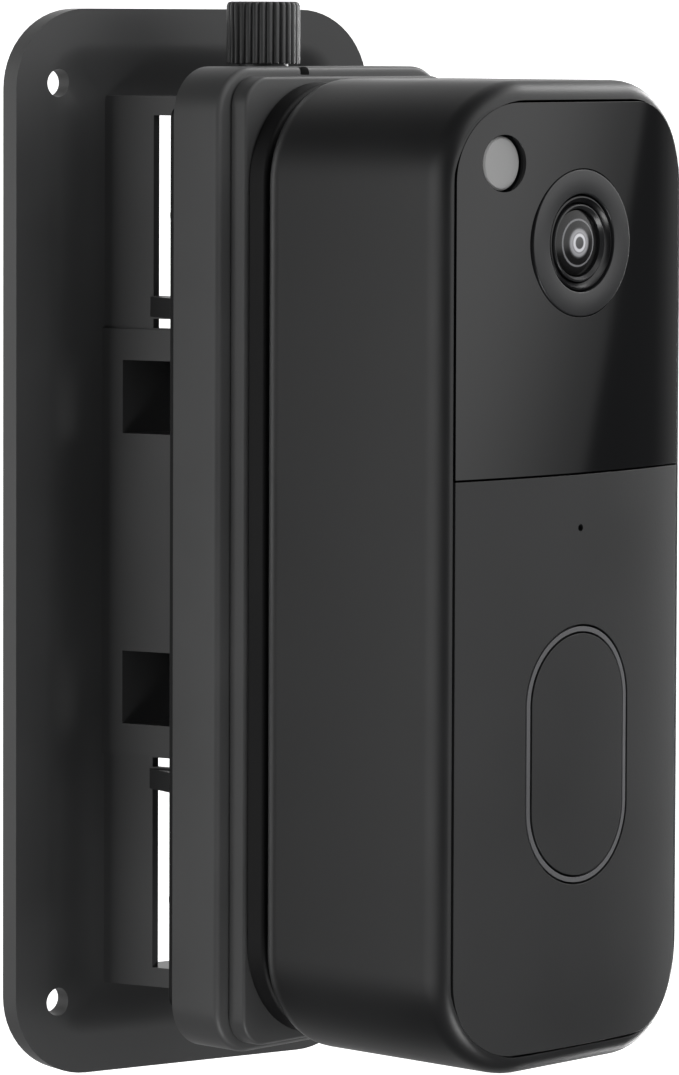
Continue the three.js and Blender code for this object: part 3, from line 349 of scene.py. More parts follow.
def glass_with_painted_reflections(name):
    """Clear glass over the lenses below it, their reflections painted into its base colour as rings, drawn by
    distance from the lens axis.
    """
    material, nodes, links, principled = shader(name, (0.01, 0.01, 0.012), 0.14, specular=0.35)
    coordinates = nodes.new("ShaderNodeTexCoord")
    centre = HEAD @ Vector((0, middle(extent("lens_front_glass", HEAD)).y, 0))
    away = nodes.new("ShaderNodeVectorMath")
    away.operation = "SUBTRACT"
    away.inputs[1].default_value = centre
    links.new(coordinates.outputs["Object"], away.inputs[0])
    forward = (HEAD.to_3x3() @ Vector((0, 0, 1))).normalized()
    flattened = nodes.new("ShaderNodeVectorMath")
    flattened.operation = "CROSS_PRODUCT"
    flattened.inputs[1].default_value = forward
    links.new(away.outputs["Vector"], flattened.inputs[0])
    length = nodes.new("ShaderNodeVectorMath")
    length.operation = "LENGTH"
    links.new(flattened.outputs["Vector"], length.inputs[0])
    reach = nodes.new("ShaderNodeMapRange")
    centre_shade = LENS_REFLECTION_RINGS[0][1]
    rim_radius, rim_shade = LENS_REFLECTION_RINGS[-1]
    reach.inputs["From Max"].default_value = rim_radius * MM
    links.new(length.outputs["Value"], reach.inputs["Value"])
    ramp = nodes.new("ShaderNodeValToRGB")
    elements = ramp.color_ramp.elements
    elements[0].color = (centre_shade, centre_shade, centre_shade, 1)
    elements[1].color = (rim_shade, rim_shade, rim_shade, 1)
    for radius, shade in LENS_REFLECTION_RINGS[1:-1]:
        elements.new(radius / rim_radius).color = (shade, shade, shade * 1.05, 1)
    links.new(reach.outputs["Result"], ramp.inputs["Fac"])
    # The ring ramp paints the lens reflections into the base colour.
    links.new(ramp.outputs["Color"], principled.inputs["Base Color"])
    return material


MATERIALS = {
    "cast_black": moulded("cast_black", (0.042, 0.0425, 0.0435), 0.42, 1900, 0.35),
    "tray_black": moulded("tray_black", (0.075, 0.0755, 0.0765), 0.46, 1600, 0.25, specular=0.4),
    "satin_black": moulded("satin_black", (0.014, 0.0143, 0.015), 0.42, 2600, 0.3),
    "gloss_black": polished("gloss_black", (0.0035, 0.0037, 0.0042), 0.05),
    # Very dark black for inner parts; on the swivel yoke it is also painted shade.
    "inner_black": moulded("inner_black", (0.005, 0.005, 0.0055), 0.6, 1500, 0.3, specular=0.3),
    "lens_black": moulded("lens_black", (0.022, 0.0225, 0.024), 0.32, 2600, 0.1),
    "sensor_white": moulded("sensor_white", (0.33, 0.33, 0.33), 0.5, 2200, 0.1, variation=0.04),
    "light_ring": moulded("light_ring", (0.1, 0.1, 0.105), 0.4, 2200, 0.1),
    "steel": machined("steel", (0.56, 0.57, 0.58), 0.3, (1, 1, 0.08)),
    "brass": machined("brass", (0.72, 0.5, 0.22), 0.3, (1, 1, 0.1)),
    "rubber": moulded("rubber", (0.014, 0.014, 0.014), 0.75, 1200, 0.4),
    "circuit_green": moulded("circuit_green", (0.015, 0.11, 0.055), 0.4, 900, 0.2, variation=0.3),
    "cell_blue": moulded("cell_blue", (0.04, 0.14, 0.34), 0.3, 700, 0.15, variation=0.2),
    # A darker copy of lens_black: painted shade for the lens shade ring, sunk behind the bezel.
    "lens_shadow": moulded("lens_shadow", (0.005, 0.005, 0.006), 0.35, 2600, 0.1),
    "lens_glass": glass_with_painted_reflections("lens_glass"),
}

for subpart in frame["record"]["subparts"]:
    cad_node = frame["nodes"][subpart["node"]]
    for cad_slot in cad_node.material_slots:
        cad_slot.material = MATERIALS[subpart["material_slot"]]


def made(name, body, place, rides, slot, ease=0.2, sharp=28, painted_shade_material=None):
    return piece(name, body, place, rides, [name], MATERIALS[painted_shade_material or slot], ease, sharp)


# ---------------------------------------------------------------- wall base

PLATE_CORNER = 12
WALL_HOLE = {"radius": 2.1, "from_side": 7.4, "from_end": 11.1}
DISH = {"rim": 5, "width": 9.4, "floor": 1.8, "corner": 3}
PLATE_THICKNESS = 4
HUB_HALF_HEIGHT = 67
HUB_FRONT = 17.7
HUB_WALL = 1
HUB_END_WALL = 2
HUB_FRONT_WALL = 1.3
HUB_BASE_HALF = 15.1
HUB_FRONT_HALF = 5.3
HUB_DRAWN_IN = 0.6
WAIST_HALF_HEIGHT = 32.1
WAIST_EXTRA = 0.4
WINDOW = {"low": 16.4, "high": 27.4, "back": 4.7}
LONG_SLOT = {"low": 37.1, "high": 64.1, "back": 8.9}
SHORT_SLOT = {"low": 32.3, "high": 33.7, "back": 8.9}
CROSSBAR = {"low": 34.0, "high": 37.0, "half_width": 10.4, "back": 8.5, "front": 14.3}
KNUCKLE_RADIUS = 4.6
KNUCKLE_TOP = 60.6
BORE_RADIUS = 2.35
PAST = 1  # how far a cutter stands past what it cuts


def flank(extra=0, inset=0, steps=12):
    back = DISH["floor"] - PAST
    points = []
    for i in range(steps + 1):
        t = i / steps
        straight = HUB_BASE_HALF + (HUB_FRONT_HALF - HUB_BASE_HALF) * t
        half = straight - HUB_DRAWN_IN * math.sin(math.pi * t) * (1 - t) + extra - inset
        points.append((-half, back + (HUB_FRONT - back) * t))
    return points


def wall_base():
    low, high = extent("wall_base", WALL)
    half_width, half_height = high.x, high.y
    axis = -hinge.y / MM
    body = plate(rounded(half_width, half_height, PLATE_CORNER), 0, PLATE_THICKNESS)

    dish_steps = 20
    dish = []
    for i in range(dish_steps + 1):
        t = i / dish_steps
        inset = DISH["rim"] + DISH["width"] * (1 - t)
        depth = PLATE_THICKNESS - DISH["floor"]
        forward = DISH["floor"] + depth * (1 - math.cos(math.pi * t)) / 2
        radius = max(PLATE_CORNER - inset, DISH["corner"])
        dish.append(at_depth(rounded(half_width - inset, half_height - inset, radius), forward))
    dish.append([(x, y, PLATE_THICKNESS + PAST) for x, y, _ in dish[-1]])
    cut(body, skin(dish))

    bar_face = -CROSSBAR["half_width"]
    bar_left = [(bar_face, CROSSBAR["back"]), (bar_face, CROSSBAR["front"]), (-HUB_FRONT_HALF, HUB_FRONT)]
    bar_outline = mirrored(bar_left)
    neck = [(HUB_FRONT_HALF, HUB_FRONT - HUB_WALL), (-HUB_FRONT_HALF, HUB_FRONT - HUB_WALL)]
    neck += arc(0, axis, KNUCKLE_RADIUS, 180, -180, 40)
    join(
        body,
        column(mirrored(flank()), -HUB_HALF_HEIGHT, HUB_HALF_HEIGHT),
        column(mirrored(flank(WAIST_EXTRA)), -WAIST_HALF_HEIGHT, WAIST_HALF_HEIGHT),
        column(bar_outline, CROSSBAR["low"], CROSSBAR["high"]),
        column(bar_outline, -CROSSBAR["high"], -CROSSBAR["low"]),
        column(neck, -KNUCKLE_TOP, KNUCKLE_TOP),
    )

    hollow_front = HUB_FRONT - HUB_FRONT_WALL
    inner = [(x, y) for x, y in flank(0, HUB_WALL) if y < hollow_front - PAST]
    hollow = [(-(HUB_BASE_HALF - HUB_WALL), -PAST), *inner]
    hollow = mirrored([*hollow, (-(HUB_FRONT_HALF - HUB_WALL + HUB_FRONT_WALL / 2), hollow_front)])
    hollow_low, hollow_high = SHORT_SLOT["low"] - HUB_END_WALL, HUB_HALF_HEIGHT - HUB_END_WALL
    reach = HUB_BASE_HALF + PAST
    tools = [column(hollow, hollow_low, hollow_high), column(hollow, -hollow_high, -hollow_low)]
    for gap in (WINDOW, LONG_SLOT, SHORT_SLOT):
        for low_end, high_end in ((gap["low"], gap["high"]), (-gap["high"], -gap["low"])):
            tools.append(block(-reach, reach, low_end, high_end, gap["back"], hollow_front))
    hole_across = half_width - WALL_HOLE["from_side"]
    hole_up = half_height - WALL_HOLE["from_end"]
    for x in (-hole_across, hole_across):
        for y in (-hole_up, hole_up):
            tools.append(drum(WALL_HOLE["radius"], -PAST, PLATE_THICKNESS + PAST, x, y, 64))
    tools.append(rod(BORE_RADIUS, -KNUCKLE_TOP - PAST, KNUCKLE_TOP + PAST, 0, axis, 48))
    cut(body, *tools)
    return made("wall_base", body, WALL, "base", "cast_black", 0.25)


# ---------------------------------------------------------------- hinge

def washers():
    for name in ("friction_washer_upper", "friction_washer_lower"):
        low, high = extent(name, HEAD)
        radius = high.x
        profile = [(BORE_RADIUS, low.y), (radius, low.y), (radius, high.y), (BORE_RADIUS, high.y)]
        made(name, turned(profile, upright_axis=True), HEAD, "base", "steel", 0.1)


KNOB = {"flutes": 30, "flute_depth": 0.45, "edge": 0.6, "collar": 3.7, "shoulder": 71.9, "dimple": 0.5}


def fluted(radius, per_flute=8):
    points = []
    count = KNOB["flutes"] * per_flute
    for i in range(count):
        angle = 2 * math.pi * i / count
        wave = abs(math.sin(KNOB["flutes"] * angle / 2))
        r = radius - KNOB["flute_depth"] * (1 - wave) ** 1.5
        points.append((r * math.cos(angle), r * math.sin(angle)))
    return points


def thumb_knob():
    low, high = extent("thumb_knob", HEAD)
    radius, edge = high.x, KNOB["edge"]
    levels = [(radius - 0.15, KNOB["shoulder"]), (radius, KNOB["shoulder"] + 0.15), (radius, high.y - edge)]
    levels += [(radius - edge * 0.35, high.y - edge * 0.25), (radius - edge, high.y)]
    grip = skin([[(x, level, y) for x, y in fluted(r)] for r, level in levels])
    rim = radius - 2 * edge
    dimple = [(0, high.y - KNOB["dimple"]), (rim - 0.4, high.y - KNOB["dimple"]), (rim, high.y + 0.05)]
    dimple.append((0, high.y + 0.05))
    cut(grip, turned(dimple, upright_axis=True))
    join(grip, rod(KNOB["collar"], low.y, KNOB["shoulder"] + edge))
    cut(grip, rod(BORE_RADIUS, low.y - PAST, KNOB["shoulder"] + 4))
    made("thumb_knob", grip, HEAD, "knob", "cast_black", 0.06, 40)


THREAD = {"pitch": 0.7, "depth": 0.35}


def hinge_bolt():
    low, high = extent("hinge_bolt", HEAD)
    radius = high.x
    nut_high = extent("hinge_nut", HEAD)[1].y
    profile = [(0, low.y), (radius - 0.5, low.y)]
    level = low.y + 0.4
    while level < nut_high:
        profile += [(radius - THREAD["depth"], level), (radius, level + THREAD["pitch"] / 2)]
        level += THREAD["pitch"]
    profile += [(radius, nut_high + PAST), (radius, high.y - 0.3), (radius - 0.3, high.y), (0, high.y)]
    made("hinge_bolt", turned(profile, upright_axis=True, steps=48), HEAD, "knob", "steel", 0)


def hinge_nut():
    low, high = extent("hinge_nut", HEAD)
    corner = max(high.x, high.z)
    chamfer = 0.5
    body = column(circle(corner, 6), low.y, high.y)
    profile = [(0, low.y), (corner - chamfer, low.y), (corner, low.y + chamfer * 0.6)]
    profile += [(corner, high.y - chamfer * 0.6), (corner - chamfer, high.y), (0, high.y)]
    common(body, turned(profile, upright_axis=True))
    cut(body, rod(BORE_RADIUS, low.y - PAST, high.y + PAST))
    made("hinge_nut", body, HEAD, "head", "steel", 0.08)


# ---------------------------------------------------------------- swivel head

YOKE = {"corner": 2, "thickness": 1.2, "border": 6.5, "lug_radius": 5.4, "lug_root": 9}
LUG = {"low": 61.9, "high": 66.0}
YOKE_BACK = 4
POST = {"across": 20.2, "up": 50, "radius": 3, "hole": 1.6}


def four_corners(across, up):
    return {
        "upper_left": (-across, up),
        "upper_right": (across, up),
        "lower_left": (-across, -up),
        "lower_right": (across, -up),
    }


def swivel_yoke():
    half_width, half_height = extent("swivel_yoke", HEAD)[1].xy
    back, front = YOKE_BACK, YOKE_BACK + YOKE["thickness"]
    body = plate(rounded(half_width, half_height, YOKE["corner"]), back, front)
    opening = rounded(half_width - YOKE["border"], LUG["low"], YOKE["corner"])
    tools = [plate(opening, back - PAST, front + PAST)]
    for x, y in four_corners(POST["across"], POST["up"]).values():
        tools.append(drum(POST["hole"], back - PAST, front + PAST, x, y, 32))
    cut(body, *tools)
    root = YOKE["lug_root"]
    ear = [(root, back + YOKE["thickness"] / 2), (-root, back + YOKE["thickness"] / 2), (-root, back)]
    ear += arc(0, 0, YOKE["lug_radius"], 180, 180, 36) + [(root, back)]
    join(body, column(ear, LUG["low"], LUG["high"]), column(ear, -LUG["high"], -LUG["low"]))
    cut(body, rod(BORE_RADIUS, -LUG["high"] - PAST, LUG["high"] + PAST))
    # The yoke wears the darker inner_black as painted shade: its edge beside the tray stands in the tray's shadow.
    made("swivel_yoke", body, HEAD, "head", "inner_black", 0.2)


TRAY = {"corner": 7, "wall": 2.4, "face": 2.5, "edge": 0.9}
PIN_NOTCH = {"across": -6.4, "width": 1.8, "depth": 1.2, "back": 1.7}


def eased(half_width, half_height, corner, back, front, edge, steps=5):
    """A slab whose front edge is rounded over by edge."""
    sections = [at_depth(rounded(half_width, half_height, corner), back)]
    for i in range(steps + 1):
        angle = math.pi / 2 * i / steps
        inset = edge * (1 - math.cos(angle))
        outline = rounded(half_width - inset, half_height - inset, corner - inset)
        sections.append(at_depth(outline, front - edge * (1 - math.sin(angle))))
    return skin(sections)


def swivel_tray():
    low, high = extent("swivel_tray", HEAD)
    half_width, half_height, front = high
    body = eased(half_width, half_height, TRAY["corner"], low.z, front, TRAY["edge"])
    wall, floor = TRAY["wall"], front - TRAY["face"]
    hollow = rounded(half_width - wall, half_height - wall, TRAY["corner"] - wall)
    cut(body, plate(hollow, low.z - PAST, floor))
    posts = four_corners(POST["across"], POST["up"]).values()
    join(body, *[drum(POST["radius"], low.z, floor + PAST, x, y, 48) for x, y in posts])
    left = PIN_NOTCH["across"] - PIN_NOTCH["width"] / 2
    tools = [drum(POST["hole"], low.z - PAST, floor + 0.5, x, y, 32) for x, y in posts]
    tools.append(
        block(
            left,
            left + PIN_NOTCH["width"],
            half_height - PIN_NOTCH["depth"],
            half_height + PAST,
            front - PIN_NOTCH["back"],
            front + PAST,
        )
    )
    cut(body, *tools)
    made("swivel_tray", body, HEAD, "head", "tray_black", 0.2)


def pan_screw(name, rides, slot="steel"):
    """A pan-head screw with a cross recess, over its CAD node."""
    low, high = extent(name, HEAD)
    across, up, _ = middle((low, high))
    head_radius = (high.x - low.x) / 2
    points = [HEAD.inverted() @ v.co for v in frame["nodes"][name].data.vertices]
    widest = [p.z for p in points if math.hypot(p.x - across, p.y - up) > head_radius * 0.95]
    seat_is_front = max(widest) > high.z - 0.5 * (high.z - low.z) and min(widest) > low.z + 0.2
    side = 1 if seat_is_front else -1
    seat = min(widest) if side > 0 else max(widest)
    top = high.z if side > 0 else low.z
    tip = low.z if side > 0 else high.z
    height = abs(top - seat)
    shank = max(
        (math.hypot(p.x - across, p.y - up) for p in points if abs(p.z - tip) < 0.1), default=head_radius / 2
    )
    profile = [(0, tip), (shank * 0.7, tip), (shank, tip + side * 0.5), (shank, seat), (head_radius, seat)]
    for i in range(7):
        angle = math.pi / 2 * i / 6
        radius = head_radius * (0.62 + 0.38 * math.cos(angle))
        profile.append((radius, seat + side * height * (0.35 + 0.65 * math.sin(angle))))
    profile.append((0, top))
    body = turned(profile, across, up, 40)
    arm, half = head_radius * 0.62, head_radius * 0.13
    floor, mouth = top - side * height * 0.6, top + side * PAST
    back, front = min(floor, mouth), max(floor, mouth)
    cut(
        body,
        block(across - arm, across + arm, up - half, up + half, back, front),
        block(across - half, across + half, up - arm, up + arm, back, front),
    )
    made(name, body, HEAD, rides, slot, 0.05)


# ---------------------------------------------------------------- adapter plate and bracket

ADAPTER = {"corner": 4.5, "edge": 0.5}
BRACKET = {"corner": 14.5, "edge": 0.7, "front": 21.3}
PIN_HOLE = {"radius": 0.8, "forward": 20.25}
LATCH_POCKET = {"across": -6.4, "half_width": 3.35, "low": 49.8, "high": 65.7, "back": 19.1}
GUIDE_TAB = {"across": 11, "low": -52, "high": 30, "width": 5, "height": 3}


def guide_tabs(play, back, front):
    """The bracket's four guide tabs, or with some play the slots that take them."""
    tools = []
    for across in (-GUIDE_TAB["across"], GUIDE_TAB["across"]):
        for up in (GUIDE_TAB["low"], GUIDE_TAB["high"]):
            wide, tall = GUIDE_TAB["width"] / 2 + play, GUIDE_TAB["height"] / 2 + play
            tools.append(block(across - wide, across + wide, up - tall, up + tall, back, front))
    return tools


def adapter_plate():
    low, high = extent("adapter_plate", HEAD)
    body = eased(high.x, high.y, ADAPTER["corner"], low.z, high.z, ADAPTER["edge"])
    tools = []
    for corner in four_corners(1, 1):
        box = extent(f"adapter_screw_{corner}", HEAD)
        centre, radius = middle(box), (box[1].x - box[0].x) / 2
        tools.append(drum(radius + 0.35, box[1].z - 1.6, high.z + PAST, centre.x, centre.y, 48))
        tools.append(drum(1.6, low.z - PAST, high.z, centre.x, centre.y, 32))
    for end in ("upper", "lower"):
        centre = middle(extent(f"bracket_screw_{end}", HEAD))
        tools.append(drum(1.5, low.z - PAST, high.z + PAST, centre.x, centre.y, 32))
    cut(body, *tools)
    made("adapter_plate", body, HEAD, "head", "tray_black", 0.1)


def bell_bracket():
    low, high = extent("bell_bracket", HEAD)
    front = BRACKET["front"]
    body = eased(high.x, high.y, BRACKET["corner"], low.z, front, BRACKET["edge"])
    join(body, *guide_tabs(0, front - 0.5, high.z))
    pocket = LATCH_POCKET
    tools = [
        block(
            pocket["across"] - pocket["half_width"],
            pocket["across"] + pocket["half_width"],
            pocket["low"],
            pocket["high"],
            pocket["back"],
            front + PAST,
        )
    ]
    for end in ("upper", "lower"):
        box = extent(f"bracket_screw_{end}", HEAD)
        centre, radius = middle(box), (box[1].x - box[0].x) / 2
        tools.append(drum(radius + 0.35, box[1].z - 1.4, front + PAST, centre.x, centre.y, 48))
        tools.append(drum(1.5, low.z - PAST, front, centre.x, centre.y, 32))
    cut(body, *tools)
    latch = middle(extent("release_latch", HEAD))
    cut(body, rod(PIN_HOLE["radius"], pocket["high"] - PAST, high.y + PAST, latch.x, PIN_HOLE["forward"], 24))
    made("bell_bracket", body, HEAD, "head", "inner_black", 0.15)


SPRING = {"wire": 0.2, "turns": 5, "steps": 20, "wire_steps": 10}


def latch_spring():
    """A coil spring wound up from its lower end, filling its CAD node; on the real latch it shortens towards that
    fixed end as the latch is pressed.
    """
    low, high = extent("latch_spring", HEAD)
    centre = middle((low, high))
    wire = SPRING["wire"]
    radius = (high.x - low.x) / 2 - wire
    count = SPRING["turns"] * SPRING["steps"]
    rise = (high.y - low.y - 2.4 * wire) / count
    sections = []
    for i in range(count + 1):
        angle = 2 * math.pi * i / SPRING["steps"]
        ring = circle(wire, SPRING["wire_steps"])
        level = low.y + 1.2 * wire + rise * i
        sections.append(
            [
                (
                    centre.x + (radius + x) * math.cos(angle),
                    level + y,
                    centre.z + (radius + x) * math.sin(angle),
                )
                for x, y in ring
            ]
        )
    spring = made("latch_spring", skin(sections), HEAD, "head", "steel", 0, 50)
    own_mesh(spring)


# ---------------------------------------------------------------- doorbell casing

BELL = {"corner": 15, "back_round": 4, "crown": 2.4}
FRONT_ROUND = {"depth": 3.6, "side": 1.3, "end": 2.7}
SHELL = {"side_wall": 1.6, "end_wall": 2.75, "corner_in": 11.3, "back_wall": 1.7}
BACK_OPENING = {"half_width": 15.5, "half_height": 58, "corner": 4}
RECESS_PLAY = 0.3
REAR_COVER_CORNER = 8
LATCH_SLOT = {"left": -8.75, "right": -4.05, "low": 56.2, "high": 61.9, "play": 0.35}
TAB_SLOT = {"play": 0.35, "floor": 23.9}
PLUG_PLAY = 0.3
bell_low, bell_high = extent("rear_shell", HEAD)
cover_high = extent("front_cover", HEAD)[1]
glass_high = extent("glass_panel", HEAD)[1]
COVER_HALF_WIDTH = cover_high.x
COVER_HALF_HEIGHT = glass_high.y
COVER_CORNER = 11.0
FACE = cover_high.z


def face(across, sunk=0):
    """Forward place of the bowed front at a distance across."""
    return FACE - BELL["crown"] * (across / COVER_HALF_WIDTH) ** 2 - sunk


def rear_shell():
    half_width, half_height, _ = bell_high
    back = bell_low.z
    recess = extent("rear_cover", HEAD)[1]
    sections = []

    def ring(inset_side, inset_end, forward, follow_face=False):
        radius = BELL["corner"] - (inset_side + inset_end) / 2
        outline = rounded(half_width - inset_side, half_height - inset_end, radius)
        if follow_face:
            sections.append([(x, y, forward + face(x) - face(COVER_HALF_WIDTH)) for x, y in outline])
        else:
            sections.append(at_depth(outline, forward))

    steps = 10
    for i in range(steps + 1):
        angle = math.pi / 2 * i / steps
        inset = BELL["back_round"] * (1 - math.sin(angle))
        ring(inset, inset, back + BELL["back_round"] * (1 - math.cos(angle)))
    lip = face(COVER_HALF_WIDTH) - 0.1
    for i in range(steps + 1):
        angle = math.pi / 2 * i / steps
        share = 1 - math.cos(angle)
        forward = lip - FRONT_ROUND["depth"] * (1 - math.sin(angle))
        ring(FRONT_ROUND["side"] * share, FRONT_ROUND["end"] * share, forward, True)
    cavity = rounded(half_width - SHELL["side_wall"], half_height - SHELL["end_wall"], SHELL["corner_in"])
    cavity_back = back + 2 * SHELL["back_wall"]
    sections.append([(x, y, lip - 0.05 + face(x) - face(COVER_HALF_WIDTH)) for x, y in cavity])
    sections.append(at_depth(cavity, cavity_back))
    opening = rounded(BACK_OPENING["half_width"], BACK_OPENING["half_height"], BACK_OPENING["corner"])
    sections.append(at_depth(opening, cavity_back))
    floor = recess.z + RECESS_PLAY
    sections.append(at_depth(opening, floor))
    pocket = rounded(recess.x + RECESS_PLAY, recess.y + RECESS_PLAY, REAR_COVER_CORNER + RECESS_PLAY)
    sections.append(at_depth(pocket, floor))
    sections.append(at_depth(pocket, back))
    body = skin(sections, loop=True)
    made("rear_shell", body, HEAD, "doorbell", "satin_black", 0.15, 40)


def rear_cover():
    low, high = extent("rear_cover", HEAD)
    body = plate(rounded(high.x, high.y, REAR_COVER_CORNER), low.z, high.z)
    tools = guide_tabs(TAB_SLOT["play"], low.z - PAST, TAB_SLOT["floor"])
    for name in CASE_SCREWS + TERMINALS:
        box = extent(name, HEAD)
        centre, radius = middle(box), (box[1].x - box[0].x) / 2
        tools.append(drum(radius + 0.35, low.z - PAST, box[0].z + 1.6, centre.x, centre.y, 48))
        tools.append(drum(radius * 0.62, low.z, high.z + PAST, centre.x, centre.y, 32))
    plug = extent("charge_port_plug", HEAD)
    left, right = plug[0].x - PLUG_PLAY, plug[1].x + PLUG_PLAY
    bottom, top = plug[0].y - PLUG_PLAY, plug[1].y + PLUG_PLAY
    tools.append(block(left, right, bottom, top, low.z - PAST, high.z + PAST))
    slot = LATCH_SLOT
    floor = extent("release_latch", HEAD)[1].z + slot["play"]
    tools.append(block(slot["left"], slot["right"], slot["low"], slot["high"], low.z - PAST, floor))
    cut(body, *tools)
    made("rear_cover", body, HEAD, "doorbell", "inner_black", 0.15)


CASE_SCREWS = [f"case_screw_{corner}" for corner in four_corners(1, 1)]
TERMINALS = ["wire_terminal_left", "wire_terminal_right"]


# ---------------------------------------------------------------- front covers and button

SEAM_UP = 14.5
SEAM_HALF = 0.15
BUTTON = {"up": -25.4, "radius": 9.75, "straight": 14.9}
RING = {"play": 0.3, "width": 0.7, "sunk": 0.05}
LENS_UP = 47.1
PIR_HOLE_RADIUS = 4.0
PIR_PLAY = 0.25
BEZEL_PLAY = 0.12


def behind_face(back, low, high, sunk=0, steps=64):
    reach = COVER_HALF_WIDTH + PAST
    outline = [(-reach, back), (reach, back)]
    for i in range(steps + 1):
        across = reach - 2 * reach * i / steps
        outline.append((across, face(across, sunk)))
    return column(outline, low, high)


def cover_outline(inset=0):
    return rounded(COVER_HALF_WIDTH - inset, COVER_HALF_HEIGHT - inset, COVER_CORNER - inset, 24)


def front_cover():
    low, _ = extent("front_cover", HEAD)
    high = SEAM_UP - SEAM_HALF
    body = plate(cover_outline(), low.z, FACE + PAST)
    common(body, behind_face(low.z - PAST, -COVER_HALF_HEIGHT - PAST, high))
    hole = pill(BUTTON["radius"] + 2 * RING["play"] + RING["width"], BUTTON["straight"], 48)
    mic = extent("microphone", HEAD)
    cut(
        body,
        plate(hole, low.z - PAST, FACE + PAST, 0, BUTTON["up"]),
        drum(0.5, low.z - PAST, FACE + PAST, 0, middle(mic).y, 24),
    )
    made("front_cover", body, HEAD, "doorbell", "satin_black", 0.12, 25)


def glass_panel():
    low, _ = extent("glass_panel", HEAD)
    body = plate(cover_outline(), low.z, FACE + PAST)
    common(body, behind_face(low.z - PAST, SEAM_UP + SEAM_HALF, COVER_HALF_HEIGHT + PAST))
    bezel = extent("lens_bezel", HEAD)[1].x
    window = extent("motion_sensor_window", HEAD)
    centre = middle(window)
    cut(
        body,
        drum(bezel + BEZEL_PLAY, low.z - PAST, FACE + PAST, 0, LENS_UP),
        drum(PIR_HOLE_RADIUS, low.z - PAST, FACE + PAST, centre.x, centre.y, 64),
    )
    made("glass_panel", body, HEAD, "doorbell", "gloss_black", 0.12, 25)


def button_cap():
    low, _ = extent("button_cap", HEAD)
    back = low.z + 4
    end = BUTTON["straight"] / 2 + BUTTON["radius"] + PAST
    body = plate(pill(BUTTON["radius"], BUTTON["straight"], 48), back, FACE + PAST, 0, BUTTON["up"])
    common(body, behind_face(back - PAST, BUTTON["up"] - end, BUTTON["up"] + end))
    join(body, drum(1.3, low.z, back + PAST, 0, BUTTON["up"], 32))
    made("button_cap", body, HEAD, "button", "satin_black", 0.2, 25)


def button_light_ring():
    low, _ = extent("button_light_ring", HEAD)
    inner = BUTTON["radius"] + RING["play"]
    end = BUTTON["straight"] / 2 + BUTTON["radius"] + 3
    body = plate(pill(inner + RING["width"], BUTTON["straight"], 48), low.z, FACE + PAST, 0, BUTTON["up"])
    common(body, behind_face(low.z - PAST, BUTTON["up"] - end, BUTTON["up"] + end, RING["sunk"]))
    cut(body, plate(pill(inner, BUTTON["straight"], 48), low.z - PAST, FACE + PAST, 0, BUTTON["up"]))
    made("button_light_ring", body, HEAD, "doorbell", "light_ring", 0.1, 25)


# ---------------------------------------------------------------- camera and sensors

def corner_round(radius, front, ease, outward, steps=4):
    """Profile points that round a front corner: outward for an outer corner, else for an inner one."""
    points = []
    for i in range(steps + 1):
        angle = math.pi / 2 * i / steps
        across, back = ease * (1 - math.cos(angle)), ease * (1 - math.sin(angle))
        points.append((radius - across, front - back) if outward else (radius + across, front - back))
    return points if outward else points[::-1]


LENS_EASE = {"bezel": 0.2, "shade": 0.3, "retainer": 0.25}
LENS_PLAY = 0.25
SHADE_DISH = {"outer": 0.45, "inner": 0.65}
RETAINER_DISH = 0.5
GLASS_SAG = 0.7


def lens():
    """Bezel, shade, retainer and front glass, each a turned ring or disc inside the one before."""
    low, high = extent("lens_bezel", HEAD)
    shade = extent("lens_shade", HEAD)
    inner, ease = shade[1].x + LENS_PLAY, LENS_EASE["bezel"]
    bezel = [(inner, low.z), (high.x, low.z), *corner_round(high.x, high.z, ease, True)]
    bezel += corner_round(inner, high.z, ease, False)
    made("lens_bezel", turned(bezel, 0, LENS_UP), HEAD, "doorbell", "lens_black", 0, 30)

    low, high = shade
    retainer = extent("lens_retainer", HEAD)
    inner, ease = retainer[1].x + LENS_PLAY, LENS_EASE["shade"]
    rim = [(inner, low.z), (high.x, low.z), *corner_round(high.x, high.z, ease, True)]
    rim += [(high.x - 2 * ease, high.z - SHADE_DISH["outer"]), (inner, high.z - SHADE_DISH["inner"])]
    # The shade ring wears the darker copy of lens_black, as painted shade for its recess.
    made("lens_shade", turned(rim, 0, LENS_UP), HEAD, "doorbell", "lens_black", 0, 30, painted_shade_material="lens_shadow")

    low, high = retainer
    glass = extent("lens_front_glass", HEAD)
    inner, ease = glass[1].x + LENS_PLAY, LENS_EASE["retainer"]
    rim = [(inner, low.z), (high.x, low.z), *corner_round(high.x, high.z, ease, True)]
    rim.append((inner, high.z - RETAINER_DISH))
    made("lens_retainer", turned(rim, 0, LENS_UP), HEAD, "doorbell", "lens_black", 0, 30)

    low, high = glass
    radius, sag = high.x, GLASS_SAG
    profile = [(0, low.z), (radius, low.z)]
    for i in range(17):
        share = i / 16
        profile.append((radius * (1 - share), high.z - sag * (1 - share) ** 2))
    made("lens_front_glass", turned(profile, 0, LENS_UP), HEAD, "doorbell", "lens_glass", 0, 40)


def motion_sensor_window():
    low, high = extent("motion_sensor_window", HEAD)
    centre = middle((low, high))
    radius, ease, crown = PIR_HOLE_RADIUS - PIR_PLAY, 0.25, 0.03
    profile = [(0, low.z), (radius, low.z), (radius, high.z - ease)]
    profile += [(radius - ease, high.z - crown), (0, high.z)]
    body = turned(profile, centre.x, centre.y)
    made("motion_sensor_window", body, HEAD, "doorbell", "sensor_white", 0, 30)


# ---------------------------------------------------------------- build

